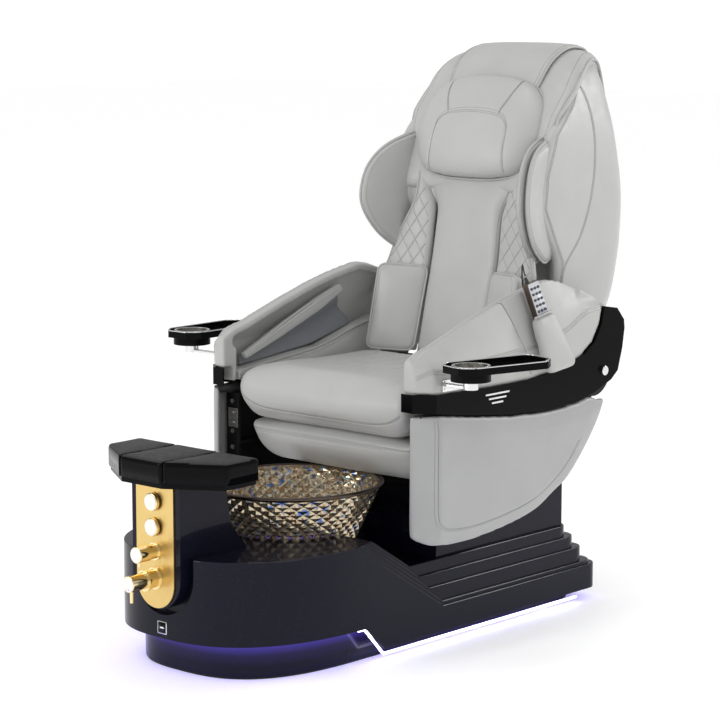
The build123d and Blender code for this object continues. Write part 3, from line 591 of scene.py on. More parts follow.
def finish_stitches():
    for body, (points, faces) in STITCHES.items():
        make_object("stitching_" + body, points, faces, body, "thread", "upholstery")
    for body, lines in SEAMS.items():
        points, faces = [], []
        for line in lines:
            line = resample(line, 4.0)
            ahead = np.gradient(line, axis=0)
            ahead /= np.maximum(np.linalg.norm(ahead, axis=1, keepdims=True), 1e-9)
            for i, (p, t) in enumerate(zip(line, ahead)):
                side = np.cross(t, (0.31, 0.22, 0.92))
                side /= max(np.linalg.norm(side), 1e-9)
                up = np.cross(t, side)
                points += [p + SEAM_RADIUS * (math.cos(a) * side + math.sin(a) * up)
                           for a in (0, 1.57, 3.14, 4.71)]
                if i:
                    faces += ring_faces(2, 4, len(points) - 8)
        make_object("seam_lines_" + body, points, faces, body, "seam", "upholstery")


def prism(name, outline, place, low, high, body, material, slot):
    """Closed slab: the (u, v) outline carried from w = low to w = high by place."""
    count = len(outline)
    points = [place(u, v, low) for u, v in outline] + [place(u, v, high) for u, v in outline]
    faces = [(i, (i + 1) % count, count + (i + 1) % count, count + i) for i in range(count)]
    faces += [tuple(range(count))[::-1], tuple(range(count, 2 * count))]
    return make_object(name, points, faces, body, material, slot)


def pad(name, outline, place, front, back, edge, roll, body, material="leather", slot="upholstery",
        voxel=5.0, pressure=0.0, cap=8.0, crown=0.0):
    """Stuffed pad over an outline: thin at its seam, full after the distance roll.

    front, back and edge are half thicknesses, and a pressure puffs the pad by simulation, up to cap.
    """
    flat = 6.0
    piece = prism(name, outline, lambda u, v, w: (u, v, w), -flat, flat, body, material, slot)
    remesh(piece, voxel, 2)
    points = coordinates(piece)
    rim = np.column_stack([outline, np.zeros(len(outline))])
    rim = np.vstack([rim, rim[:1]])
    gap = distance_to([rim], np.column_stack([points[:, 0], points[:, 1], np.zeros(len(points))]))
    t = np.clip(gap / roll, 0, 1)
    swell = np.sqrt(1 - (1 - t) ** 2)
    rise = np.clip(points[:, 2] / flat, -1, 1)
    reach = np.where(rise > 0, edge + (front - edge) * swell + crown * np.clip(gap / (3 * roll), 0, 1),
                     edge + (back - edge) * swell)
    points[:, 2] = rise * reach
    set_coordinates(piece, [place(*p) for p in points])
    remesh(piece, voxel, 3)
    if pressure:
        puff(piece, pressure, cap)
    subdivide(piece)
    return piece


# ---------------------------------------------------------------- back
# Side line (y, z) of the back's padding, from the seat up over the top and down behind.
BACK_LINE = smooth_line([
    (335, 646), (366, 768), (398, 891), (414, 1000), (436, 1110), (478, 1230), (526, 1335),
    (566, 1392), (622, 1421), (676, 1424), (704, 1408), (724, 1370), (740, 1320), (752, 1270)], 2.0)
BACK_RUN = np.r_[0, np.cumsum(np.linalg.norm(np.diff(BACK_LINE, axis=0), axis=1))]
BACK_AHEAD = np.gradient(BACK_LINE, axis=0)
BACK_AHEAD /= np.linalg.norm(BACK_AHEAD, axis=1, keepdims=True)


def back_place(x, run, out):
    """Point at x, a distance run along the back's side line, and out from it."""
    y, z, ty, tz = (np.interp(run, BACK_RUN, column) for column in
                    (BACK_LINE[:, 0], BACK_LINE[:, 1], BACK_AHEAD[:, 0], BACK_AHEAD[:, 1]))
    return (x, y - tz * out, z + ty * out)


def hood_place(x, run, out):
    """Like back_place, with the sides of the head section curving away at the top."""
    fall = np.interp(run, [560, 640, 725, 800, 850, 900, 1100], [-16, -15, 14, 23, 26, 30, 24])
    return back_place(x, run, out - fall * (abs(x) / 240) ** 3.6)


def mirrored_outline(half):
    """Closed (u, v) outline from its right half, listed from bottom to top."""
    return np.array(list(half) + [(-u, v) for u, v in half[::-1]], float)


PILLOW_HALF = [(0, 461), (70, 463), (124, 471), (158, 484), (184, 512), (198, 548), (201, 582), (198, 622),
               (188, 662), (164, 700), (128, 723), (66, 737), (0, 741)]
PANEL_HALF = [(126, 468), (122, 520), (121, 560), (117, 586), (103, 605), (80, 614), (40, 620), (0, 622)]
PAD_HALF = [(112, -6), (112, 56), (114, 229), (114, 266), (112, 363), (118, 399), (129, 422), (140, 446),
            (148, 475), (151, 530)]
BOLSTER_OUT = [(252, -6), (252, 200), (248, 232), (234, 283), (224, 309), (197, 358), (183, 388), (175, 420),
               (175, 475), (182, 530)]
FLAP_HALF = [(142, 690), (152, 740), (156, 800), (154, 880), (152, 1000), (150, 1085)]


def fine_half(half, step=5.0):
    return [tuple(p) for p in smooth_line(half, step)]


def back_center_pad():
    outline = mirrored_outline(fine_half(PAD_HALF))
    piece = pad("back_center_pad", outline, back_place, 13, 10, 3, 20, "back", voxel=5.0, pressure=1.5, cap=5)
    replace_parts(piece, "back_pad")
    for side in (-1, 1):
        line = [back_place(side * (u - 9), v, 14) for u, v in fine_half(PAD_HALF) if 0 < v < 500]
        stitches(piece, line, "back", toward=FRONTWARD)


def diamond_lines(side, inner, outer):
    """Quilting lines across a bolster, in two crossing families."""
    lines = []
    wide, tall = 40.0, 58.0
    for family in (-1, 1):
        for k in range(-16, 22):
            line = []
            for v in np.arange(150, 520, 3.0):
                u = 100 + k * wide + family * (v - 150) * wide / tall
                if inner(v) + 10 < u < outer(v) - 9:
                    line.append(back_place(side * u, v, 24))
            if len(line) > 6:
                lines.append(np.array(line))
    return lines


def bolster(side, name):
    half = fine_half(PAD_HALF)
    out = fine_half(BOLSTER_OUT)

    def inner(v):
        return np.interp(v, [p[1] for p in half], [p[0] for p in half]) + 1.5

    def outer(v):
        return np.interp(v, [p[1] for p in out], [p[0] for p in out])

    def place(u, v, w):
        across = (u - inner(v)) / max(20, outer(v) - inner(v))
        return back_place(side * u, v, w + 4 + 12 * across)

    outline = [(outer(v), v) for v in np.arange(-4, 528, 4.0)]
    outline += [(inner(v), v) for v in np.arange(528, -4, -4.0)]
    piece = pad(name, np.array(outline), place, 15, 10, 5, 20, "back", voxel=4.5, pressure=1.2, cap=5)
    lines = []
    for line in diamond_lines(side, inner, outer):
        lines.append(onto(piece, line, FRONTWARD))
    carve(piece, lines, 2.0, 1.5)
    for line in lines:
        stitches(piece, line, "back", 5.0, 3.9, 0.7, FRONTWARD)
    edge = [place(outer(v) - 3, v, 9) for v in np.arange(180, 480, 5.0)]
    piping = welt(name + "_welt", edge, 3.0)
    return [piece, piping]


def lumbar_pad(side, name):
    top_in, top_out = np.array((112, 384, 868)), np.array((240, 328, 872))
    low_in, low_out = np.array((114, 325, 646)), np.array((244, 279, 647))
    wide, tall = 134.0, 222.0
    face = np.cross(top_out - top_in, low_in - top_in)
    face = face / np.linalg.norm(face)
    if face[1] > 0:
        face = -face

    def place(u, v, w):
        a, b = u / wide, v / tall
        p = (low_in * (1 - a) + low_out * a) * (1 - b) + (top_in * (1 - a) + top_out * a) * b
        p = p + face * w
        return (side * p[0], p[1], p[2])

    outline = rounded([(0, 0), (wide, 0), (wide, tall), (0, tall)], 24)
    piece = pad(name, outline, place, 14, 12, 9, 14, "back", voxel=4.5, pressure=2.0, cap=6, crown=5)
    line = [place(wide - 8, v, 24) for v in np.arange(14, tall - 20, 4.0)]
    line += [place(u, tall - 8, 24) for u in np.arange(wide - 22, 4, -4.0)]
    stitches(piece, line, "back", toward=FRONTWARD)
    corners = [(1, 1), (wide - 1, 1), (wide - 1, tall - 1), (1, tall - 1)]
    rim = [place(u, v, 9) for u, v in rounded(corners, 23)]
    piping = welt(name + "_welt", rim, 2.6, closed=True)
    return [piece, piping]


WING_LEAF = [(462, 1217), (395, 1204), (338, 1176), (298, 1130), (281, 1068), (288, 1016), (324, 958),
             (372, 918), (412, 899), (452, 925), (480, 1000), (494, 1100), (488, 1180)]


def shoulder_wing(side, name):
    """Two leaves sewn together at the rear, the outer one set back a little."""
    pieces = []
    for layer, (x0, x1, back_by, thick) in enumerate([(216, 262, 0, 9), (236, 283, 17, 9)]):
        leaf = smooth_line([(y + back_by, z) for y, z in WING_LEAF], 5, True)[:-1]

        def place(u, v, w, x0=x0, x1=x1):
            flare = (x1 - x0) * np.clip((450 - u) / 160, 0, 1.1) ** 1.6
            return (side * (x0 + flare - w), u, v)

        piece = pad(f"{name}_leaf{layer + 1}", leaf, place, thick, thick, 3, 18, "back", voxel=4.5,
                    pressure=1.5, cap=4)
        inside = leaf.mean(0) + (leaf - leaf.mean(0)) * 0.93
        line = [place(u, v, thick + 8) for u, v in inside]
        stitches(piece, line, "back", toward=(side, 0, 0))
        outer_line = [place(u, v, -thick - 8) for u, v in inside]
        stitches(piece, outer_line, "back", toward=(-side, 0, 0))
        rim = [place(u, v, 0) for u, v in leaf]
        piping = welt(f"{name}_welt{layer + 1}", rim, 3.4, closed=True)
        pieces += [piece, piping]
    return pieces


def head_pillow():
    outline = mirrored_outline(fine_half(PILLOW_HALF))

    def place(u, v, w):
        wrap = 16 * (abs(u) / 200) ** 2.5
        return back_place(u, v, w + 24 + wrap * 0.3 - wrap)

    piece = pad("head_pillow_cover", outline, place, 42, 20, 5, 85, "back", voxel=5.0, pressure=3.0, cap=9)
    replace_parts(piece, "head_pillow")
    panel = [(-u, v) for u, v in PANEL_HALF] + [(u, v) for u, v in PANEL_HALF[-2::-1]]
    lines = [[place(u, v, 70) for u, v in smooth_line(panel, 4)]]
    for side in (-1, 1):
        lines.append([place(side * u, v, 70) for u, v in smooth_line([(84, 616), (104, 660), (120, 720)], 4)])
    lines = [onto(piece, line, FRONTWARD) for line in lines]
    carve(piece, lines, 3.0, 2.2)
    for line in lines:
        double_row(piece, line, (0, 0, 5.5), "back", FRONTWARD)
    rim = [place(u, v, 2) for u, v in outline]
    welt("head_pillow_welt", rim, 3.0, closed=True)


HOOD_HALF = [(228, 430), (236, 560), (243, 640), (244, 720), (239, 790), (222, 850), (204, 905), (196, 980),
             (192, 1050)]


def back_hood():
    """Padded head section that wraps over the top of the back."""
    outline = mirrored_outline(fine_half(HOOD_HALF))
    piece = pad("back_hood", outline, hood_place, 17, 22, 7, 34, "back", "leather", "leather_panel",
                voxel=5.5, pressure=2.0, cap=3)
    for side in (-1, 1):
        line = [hood_place(side * (u - 16), v, 26) for u, v in fine_half(HOOD_HALF) if v > 500]
        stitches(piece, line, "back")
    for side, word in SIDES:
        rim = [hood_place(side * u, v, 4) for u, v in fine_half(HOOD_HALF) if v > 470]
        welt("hood_welt_" + word, rim, 3.6, "leather_panel")


def top_flap():
    outline = mirrored_outline(fine_half(FLAP_HALF))

    def place(u, v, w):
        return hood_place(u, v, w + 21)

    piece = pad("top_flap_cover", outline, place, 8, 3, 3, 14, "back", "leather", "leather_panel", voxel=4.0)
    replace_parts(piece, "top_flap")
    for side, word in SIDES:
        edge = [place(side * u, v, 3) for u, v in fine_half(FLAP_HALF)]
        welt("flap_welt_" + word, edge, 3.4, "leather_panel")
        stitches(piece, [place(side * (u - 9), v, 20) for u, v in fine_half(FLAP_HALF)], "back")


# z, front y, rear y, half width of the leather cover behind the back
SHELL_LEVELS = [(632, 470, 622, 225), (650, 458, 645, 240), (700, 450, 690, 252), (790, 449, 745, 260),
                (900, 452, 775, 262), (959, 420, 783, 262), (1039, 378, 787, 262), (1115, 388, 781, 260),
                (1224, 436, 762, 253), (1296, 512, 745, 243), (1345, 545, 733, 231), (1390, 572, 714, 212),
                (1410, 590, 694, 190), (1420, 610, 670, 150)]


SHELL_HALF = 262


def back_shell():
    """Leather cover of the back: flat sides that roll into a bowed rear, open-looking front edge."""
    levels = smooth_line(SHELL_LEVELS, 14.0)
    count = 72
    points = []
    for z, front, rear, half in levels:
        side_rear = rear - min(95, 0.45 * (rear - front))
        ring = []
        for t in np.linspace(0, 1, count // 2 + 1):
            a = math.pi * t
            x = half * math.copysign(min(1, abs(math.cos(a)) ** 0.42), math.cos(a))
            ring.append((x, side_rear + (rear - side_rear) * math.sin(a) ** 0.9, z))
        corner = 16
        front_line = [(-half, front + corner), (-half + 5, front + 5), (-half + corner, front)]
        inner = [(-half + 34, front + 8), (-half + 60, front + 40)]
        inner += [(-x, y) for x, y in inner[::-1]]
        outer = [(half - corner, front), (half - 5, front + 5), (half, front + corner)]
        ring += [(x, y, z) for x, y in front_line + inner + outer]
        points += ring
    size = len(ring)
    faces = ring_faces(len(levels), size)
    faces += [tuple(range(size)), tuple(range((len(levels) - 1) * size, len(levels) * size))]
    piece = make_object("back_cover", points, faces, "back", "leather_side", "leather_panel")
    remesh(piece, 7.0, 6)
    subdivide(piece)
    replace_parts(piece, "back_shell")
    lines = []
    edge = np.array(SHELL_LEVELS, float)
    for side in (-1, 1):
        front = [(side * SHELL_HALF, np.interp(z, edge[:, 0], edge[:, 1]) + 20, z)
                 for z in np.arange(720, 1380, 5.0)]
        middle = [(side * SHELL_HALF, y, z) for y, z in smooth_line(
            [(560, 1385), (600, 1290), (612, 1180), (590, 1060), (545, 960), (480, 885), (455, 800)], 5)]
        for line in (front, middle):
            placed = onto(piece, line, (-side, 0, 0))
            lines.append(placed)
            double_row(piece, placed, (0, 3.5, 0), "back", (-side, 0, 0))
    rear = onto(piece, [(0, 800, z) for z in np.arange(700, 1300, 5.0)], FROM_REAR)
    double_row(piece, rear, (4, 0, 0), "back", FROM_REAR)
    carve(piece, lines + [rear], 3.0, 1.2)


def build_back():
    back_center_pad()
    groups = {"bolsters": bolster, "lumbar_pads": lumbar_pad, "shoulder_wings": shoulder_wing}
    for node, maker in groups.items():
        for side, word in SIDES:
            made = maker(side, f"{node}_{word}")
            for piece in made[::2]:
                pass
            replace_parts(made[0], node)
    head_pillow()
    back_hood()
    top_flap()
    back_shell()


# ---------------------------------------------------------------- seat
def rolled_pad(name, profile, half, low_round, top_round, voxel, pressure, cap):
    """Long seat pad along x: the (y, z) profile is closed in towards both ends."""
    profile = smooth_line(profile, 8, True)[:-1]
    low, high = profile[:, 1].min(), profile[:, 1].max()
    centre = (profile[:, 0].min() + profile[:, 0].max()) / 2
    reach = half - np.r_[0, 2, 6, 12, 20, 32, 48, 66, 90, 130]
    points = []
    stations = sorted([-x for x in reach] + list(reach) + [0])
    for x in stations:
        gap = half - abs(x)

        def inset(radius):
            return 0 if gap >= radius else radius - math.sqrt(max(0, radius ** 2 - (radius - gap) ** 2))

        z0, z1, side = low + inset(low_round), high - inset(top_round), inset(26)
        for y, z in profile:
            squeeze = 1 - (side if y < centre else 0.2 * side) / (profile[:, 0].max() - centre)
            points.append((x, centre + (y - centre) * squeeze, z0 + (z - low) / (high - low) * (z1 - z0)))
    size = len(profile)
    faces = ring_faces(len(stations), size)
    faces += [tuple(range(size)), tuple(range((len(stations) - 1) * size, len(stations) * size))]
    piece = make_object(name, points, faces, "seat", "leather", "upholstery")
    remesh(piece, voxel, 4)
    puff(piece, pressure, cap)
    subdivide(piece)
    return piece


def seat_cushion():
    profile = [(-122, 516), (60, 514), (200, 514), (312, 516), (319, 560), (320, 615), (308, 637), (180, 638),
               (60, 640), (-60, 645), (-120, 645), (-160, 632), (-176, 600), (-172, 560), (-152, 528)]
    piece = rolled_pad("seat_cushion_cover", profile, 282, 62, 34, 6.0, 2.5, 7)
    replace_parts(piece, "seat_cushion")
    seam = [(x, -190, 544 + 34 * (abs(x) / 270) ** 7) for x in np.arange(-266, 267, 4.0)]
    seam = onto(piece, seam, FRONTWARD)
    channels = []
    for x in range(-200, 201, 50):
        line = [(x * (1 + 0.0009 * (y - 20)), y, 700) for y in np.arange(48, 300, 5.0)]
        channels.append(onto(piece, line, DOWNWARD))
    cross = [(x, 46 + 10 * (x / 240) ** 2, 700) for x in np.arange(-250, 251, 5.0)]
    cross = onto(piece, cross, DOWNWARD)
    carve(piece, [seam, cross] + channels, 3.2, 2.2)
    for line in channels + [cross]:
        stitches(piece, line, "seat", toward=DOWNWARD)
    double_row(piece, seam, (0, 0, -4), "seat", FRONTWARD)


def seat_front_pad():
    profile = [(-24, 501), (-24, 450), (-26, 408), (-66, 403), (-100, 420), (-122, 458), (-130, 492),
               (-96, 503)]
    piece = rolled_pad("seat_front_cover", profile, 280, 66, 8, 5.0, 2.0, 6)
    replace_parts(piece, "seat_front_pad")
    seam = onto(piece, [(x, -150, 482) for x in np.arange(-262, 263, 4.0)], FRONTWARD)
    carve(piece, [seam], 3.5, 2.0)
    double_row(piece, seam, (0, 0, 4), "seat", FRONTWARD)


SIDE_PROFILE = [(-202, 588), (-203, 450), (-203, 312), (-190, 284), (-150, 272), (-31, 268), (113, 281),
                (224, 303), (299, 338), (352, 364), (413, 418), (475, 491), (513, 556)]
NOTCH = [(507, 553), (480, 552), (462, 560), (436, 562), (400, 555), (340, 549), (270, 546), (121, 554),
         (-22, 571), (-161, 590)]


def side_panel(side, name):
    outline = resample(list(smooth_line(SIDE_PROFILE, 6)) + [(509, 556)] + NOTCH + [(-202, 588)], 5)[:-1]

    def place(u, v, w):
        turn = 42 * np.clip((-153 - u) / 50, 0, 1.1) ** 1.15
        return (side * (367 + w - turn), u, v)

    # the side panels take the darker copy of the leather, which paints their shade
    piece = pad(name, outline, place, 10, 9, 7, 14, "seat", "leather_shaded_copy", "leather_panel", voxel=5.0,
                crown=5)
    seam = smooth_line([(-157, 580), (-158, 450), (-157, 350), (-146, 322), (-110, 309), (-25, 304),
                        (100, 314), (210, 334), (285, 366), (350, 410), (400, 462)], 4)
    line = onto(piece, [place(u, v, 30) for u, v in seam], (-side, 0, 0))
    carve(piece, [line], 3.0, 1.2)
    stitches(piece, line, "seat", toward=(-side, 0, 0))
    beside = onto(piece, [place(u - 8, v - 3, 30) for u, v in seam], (-side, 0, 0))
    stitches(piece, beside, "seat", toward=(-side, 0, 0))
    return piece


def panel_cap(side, word):
    """Dark rail along the top of the frame inside each side panel."""
    outline = [(-188, 574), (-22, 556), (121, 542), (270, 534), (385, 540), (385, 585), (270, 590),
               (121, 592), (-22, 592), (-110, 594), (-188, 590)]
    prism("panel_rail_" + word, outline, lambda u, v, w: (side * w, u, v), 326, 348, "seat", "black_matte",
          "steel_plate")


def rear_shade_sheet():
    """Dark sheet behind the cushion that closes the gap under the back: painted shade where the gap would
    show through.
    """
    outline = rounded([(-240, 548), (240, 548), (240, 625), (-240, 625)], 6)
    prism("seat_rear_painted_shade", outline, lambda u, v, w: (u, w, v), 398, 401, "seat", "black_matte",
          "steel_plate")


def build_seat():
    for side, word in SIDES:
        panel_cap(side, word)
    rear_shade_sheet()
    seat_cushion()
    seat_front_pad()
    for side, word in SIDES:
        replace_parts(side_panel(side, "side_panel_" + word), "side_panels")


# ---------------------------------------------------------------- arms
def from_cad(node, name, body, voxel, relax, pressure=0.0, cap=4.0):
    """Leather piece from its CAD solid: rounded by a voxel remesh, and puffed if it has a pressure."""
    mesh = frame["nodes"][node].data.copy()
    mesh.materials.clear()
    mesh.materials.append(MATERIALS["leather"])
    piece = new_object(name, mesh)
    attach(piece, body)
    remesh(piece, voxel, relax)
    if pressure:
        puff(piece, pressure, cap)
    subdivide(piece)
    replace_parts(piece, node)
    return piece


# y, height of the outer seam, height of the ridge
ROOF_LINE = [(-196, 680, 712), (-165, 697, 741), (-114, 693, 754), (24, 703, 801), (142, 711, 837),
             (211, 716, 854), (316, 737, 873), (361, 751, 866), (434, 785, 842), (500, 793, 816)]


# lower edge of the glossy band: y, z
BAND_LOW = [(-203, 597), (-161, 595), (-22, 574), (121, 559), (270, 551), (385, 556), (463, 572), (534, 598)]


def tuck_behind_band(shell):
    """Keeps the cover's outer wall above the band's lower edge."""
    points = coordinates(shell)
    low = np.array(BAND_LOW, float)
    edge = np.interp(points[:, 1], low[:, 0], low[:, 1]) + 9
    wall = (np.abs(points[:, 0]) > 342) & (points[:, 2] < edge)
    points[wall, 2] = edge[wall]
    set_coordinates(shell, points)


def arm(side, word):
    body = "arm_" + word
    shell = from_cad("arm_shell_" + word, "arm_cover_" + word, body, 5.5, 6)
    tuck_behind_band(shell)
    roof = smooth_line(ROOF_LINE, 5)
    front_x = np.interp(roof[:, 0], [-200, -165], [333, 372])
    seam = np.column_stack([side * (front_x + 4), roof[:, 0], roof[:, 1]])
    seam = onto(shell, seam)
    ridge = np.column_stack([side * np.full(len(roof), 326), roof[:, 0], roof[:, 2] + 10])
    ridge = onto(shell, ridge, DOWNWARD)
    strap = smooth_line([(330, 118, 860), (350, 150, 800), (373, 170, 745), (376, 190, 698),
                         (376, 204, 650)], 4)
    strap = onto(shell, strap * (side, 1, 1))
    carve(shell, [seam, strap] if side > 0 else [seam], 3.0, 1.8)
    carve(shell, [ridge], 3.0, 1.2)
    out = (-side, 0, 0)
    double_row(shell, seam, (0, 0, 5), body, out)
    stitches(shell, ridge - (side * 7, 0, 0), body, toward=DOWNWARD)
    if side > 0:
        welt("strap_edge_" + word, strap, 2.2, "leather_panel", body)
    pads = from_cad("arm_pads_" + word, "forearm_pads_" + word, body, 4.5, 4, 3.0, 5)
    flap_edge = smooth_line([(-118, 676), (24, 743), (150, 793), (228, 819)], 4)
    lower_edge = smooth_line([(-140, 632), (-39, 643), (151, 664), (300, 704), (380, 718)], 4)
    for number, line in enumerate((flap_edge, lower_edge)):
        rim = [(side * 299, y, z - 4) for y, z in line]
        welt(f"forearm_welt{number + 1}_{word}", rim, 2.6, "upholstery", body)
        inner = [(side * 280, y, z - 14) for y, z in line]
        stitches(pads, inner, body, toward=(side, 0, 0))
    gusset(side, word)


def gusset(side, word):
    """Pleated leather between the flap pad and the lower pad, at the back of the forearm channel; its dark
    copy of the leather paints the channel's shade.
    """
    top = smooth_line([(-118, 668), (24, 730), (150, 778), (245, 806)], 6)
    bottom = resample([(-118, 640), (-39, 646), (151, 667), (300, 706)], 6)
    count, folds = 60, 30
    points, faces = [], []
    for i, t in enumerate(np.linspace(0, 1, count)):
        a = top[int(round(t * (len(top) - 1)))]
        b = bottom[int(round(t * (len(bottom) - 1)))]
        for j, s in enumerate(np.linspace(0, 1, folds)):
            y, z = a * (1 - s) + b * s
            depth = 12 + 16 * math.sin(math.pi * s) * (0.3 + 0.7 * t)
            fold = 7 * math.sin(s * 9.0 + 2.5 * t) * t * math.sin(math.pi * s)
            points.append((side * (312 + depth + fold), y, z))
    for i in range(count - 1):
        for j in range(folds - 1):
            a = i * folds + j
            faces.append((a, a + 1, a + folds + 1, a + folds))
    piece = make_object("forearm_gusset_" + word, points, faces, "arm_" + word, "leather_recess_shade", "upholstery")
    thick = piece.modifiers.new("thickness", "SOLIDIFY")
    thick.thickness = 2.5 * MM
    thick.offset = 0
    apply_modifiers(piece)


BAND_FACE_X = 376.2


def band_mark():
    """Plain generic mark on the left arm's band: three parallel bars."""
    for number, (y0, length) in enumerate(((20, 92), (32, 68), (44, 44))):
        z = 618 - 11 * number
        corners = [(y0, z - 2.2), (y0 + length, z - 2.2), (y0 + length, z + 2.2), (y0, z + 2.2)]
        outline = rounded(corners, 2.2, 1.0)
        prism(f"band_bar{number + 1}", outline, lambda u, v, w: (BAND_FACE_X + w, u, v), 0, 0.8, "arm_left",
              "white", "gloss_black")


def remote_frame():
    """Pocket mouth, long axis and face direction of the remote."""
    mouth = np.array((376.0, 236.0, 790.0))
    axis = np.array((-0.267, -0.178, 0.946))
    face = np.array((0.964, -0.049, 0.262))
    axis = axis / np.linalg.norm(axis)
    face = face - axis * np.dot(face, axis)
    return mouth, axis, face / np.linalg.norm(face)


REMOTE_FRAME = remote_frame()


def remote():
    """Face plate and oval keys on the remote, in the frame of its long axis."""
    mouth, axis, face = REMOTE_FRAME
    across = np.cross(axis, face)
    top = mouth + axis * 90

    def place(u, v, w):
        return top + across * u + axis * v + face * w

    outline = rounded([(-21, -3), (21, -3), (21, -93), (-21, -93)], 5, 2.0)
    prism("remote_face", outline, place, 8.6, 9.7, "arm_left", "remote", "remote_silver")
    keys, faces = [], []
    ring = [(math.cos(a), math.sin(a)) for a in np.linspace(0, 2 * math.pi, 20, endpoint=False)]
    for row in range(5):
        for column in (-13, 0, 13):
            base = len(keys)
            for radius, height in ((1.0, 9.6), (1.0, 10.4), (0.8, 11.0), (0.4, 11.1)):
                keys += [place(column + c * 5.7 * radius, -17 - 14.6 * row + s * 3.6 * radius, height)
                         for c, s in ring]
            faces += ring_faces(4, 20, base)
            faces.append(tuple(range(base + 60, base + 80)))
    piece = make_object("remote_keys", keys, faces, "arm_left", "key", "keypad")
    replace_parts(piece, "remote_keypad")


# The route of part.py's cord, in metres.
CORD_ROUTE = [
    (0.3464, 0.2086, 0.8910), (0.3430, 0.2062, 0.9030), (0.3340, 0.2150, 0.9140), (0.3200, 0.2300, 0.9160),
    (0.3080, 0.2440, 0.9060), (0.2990, 0.2560, 0.8880), (0.2920, 0.2660, 0.8660), (0.2870, 0.2770, 0.8400),
    (0.2845, 0.2950, 0.8130), (0.2840, 0.3300, 0.7900), (0.2845, 0.3720, 0.7770), (0.2885, 0.4070, 0.7730),
    (0.2970, 0.4300, 0.7740),
]
CORD_DIAMETER = 0.0036


def remote_cord():
    data = bpy.data.curves.new("remote_lead", "CURVE")
    data.dimensions = "3D"
    spline = data.splines.new("NURBS")
    spline.points.add(len(CORD_ROUTE) - 1)
    for point, place in zip(spline.points, CORD_ROUTE):
        point.co = (*place, 1)
    spline.order_u = 3
    spline.use_endpoint_u = True
    spline.resolution_u = 12
    data.bevel_depth = CORD_DIAMETER / 2
    data.bevel_resolution = 4
    data.materials.append(MATERIALS["cord"])
    lead = new_object("remote_lead", data)
    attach(lead, "arm_left")
    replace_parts(lead, "remote_cord")


def pocket():
    """Soft leather pocket the remote stands in, hanging from the strap over the arm."""
    mouth, axis, face = REMOTE_FRAME
    across = np.cross(axis, face)

    def place(u, v, w):
        return mouth + across * u + axis * v + face * w

    outline = rounded([(-36, 3), (40, 3), (62, -132), (52, -146), (-36, -140), (-46, -122)], 22)
    piece = pad("remote_pocket", outline, place, 16, 8, 11, 14, "arm_left", "leather", "leather_panel",
                voxel=3.5, pressure=1.5, cap=4, crown=2)
    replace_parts(piece, "remote_holster")
    stitches(piece, [place(u, -7, 26) for u in np.arange(-32, 37, 3.0)], "arm_left", toward=(-1, 0, 0))
    lip = [place(u, 4, 6 + 9 * math.cos(u / 40 * 1.2)) for u in np.arange(-36, 41, 3.0)]
    welt("pocket_lip", lip, 2.4, "leather_panel", "arm_left")


def build_arms():
    for side, word in SIDES:
        arm(side, word)
    pocket()
    band_mark()
    remote()
    remote_cord()


# ---------------------------------------------------------------- base
BOWL_Y = -262.0
STRAINER_HOLE = 22               # radius of the opening in the bowl's floor


def faceted_bowl():
    """Oval glass bowl: rows of diamond facets outside and inside, under a smooth dark rim."""
    columns, rows = 76, 13
    low, high = 246.0, 386.0
    points, faces = [], []
    turns = [2 * math.pi * i / columns for i in range(columns)]

    def ring(z, grow, bulge):
        """Oval at height z, grown by some millimetres, with every other point bulged."""
        f = (z - 245) / 152
        a, b = 146 + 67 * f + grow, 156 + 70 * f + grow
        for i, t in enumerate(turns):
            points.append(((a + bulge[i % 2]) * math.cos(t), BOWL_Y + (b + bulge[i % 2]) * math.sin(t), z))

    for row in range(rows + 1):
        pattern = (2.6, -2.2) if row % 2 else (-2.2, 2.6)
        ring(low + (high - low) * row / rows, -1.8, pattern)
    for z, grow in ((389, -0.5), (393, 0.4), (397, -1.5), (397, -6.5), (391, -8.5)):
        ring(z, grow, (0, 0))
    for row in range(rows, -1, -1):
        pattern = (1.6, -1.6) if row % 2 else (-1.6, 1.6)
        ring(max(258, low + (high - low) * row / rows), -9.5, pattern)
    total = len(points) // columns
    for r in range(total - 1):
        for i in range(columns):
            j = (i + 1) % columns
            a, b, c, d = r * columns + i, r * columns + j, (r + 1) * columns + j, (r + 1) * columns + i
            if (r + i) % 2:
                faces += [(a, b, d), (b, c, d)]
            else:
                faces += [(a, b, c), (a, c, d)]
    # floor of the bowl, round the strainer
    hole = len(points)
    for z in (257, 246):
        points += [(STRAINER_HOLE * math.cos(a), BOWL_Y + STRAINER_HOLE * math.sin(a), z) for a in turns]
    for i in range(columns):
        j = (i + 1) % columns
        faces.append(((total - 1) * columns + i, (total - 1) * columns + j, hole + j, hole + i))
        faces.append((hole + i, hole + j, hole + columns + j, hole + columns + i))
        faces.append((hole + columns + i, hole + columns + j, j, i))
    piece = make_object("faceted_bowl", points, faces, "base", "glass", "glass", smooth=False)
    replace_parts(piece, "bowl")
    fine_turns = np.linspace(0, 2 * math.pi, 160, endpoint=False)
    rim = [(212 * math.cos(t), BOWL_Y + 225 * math.sin(t), 396) for t in fine_turns]
    tube("bowl_rim", rim, 5.0, "base", "bronze", "glass", closed=True, sides=12)


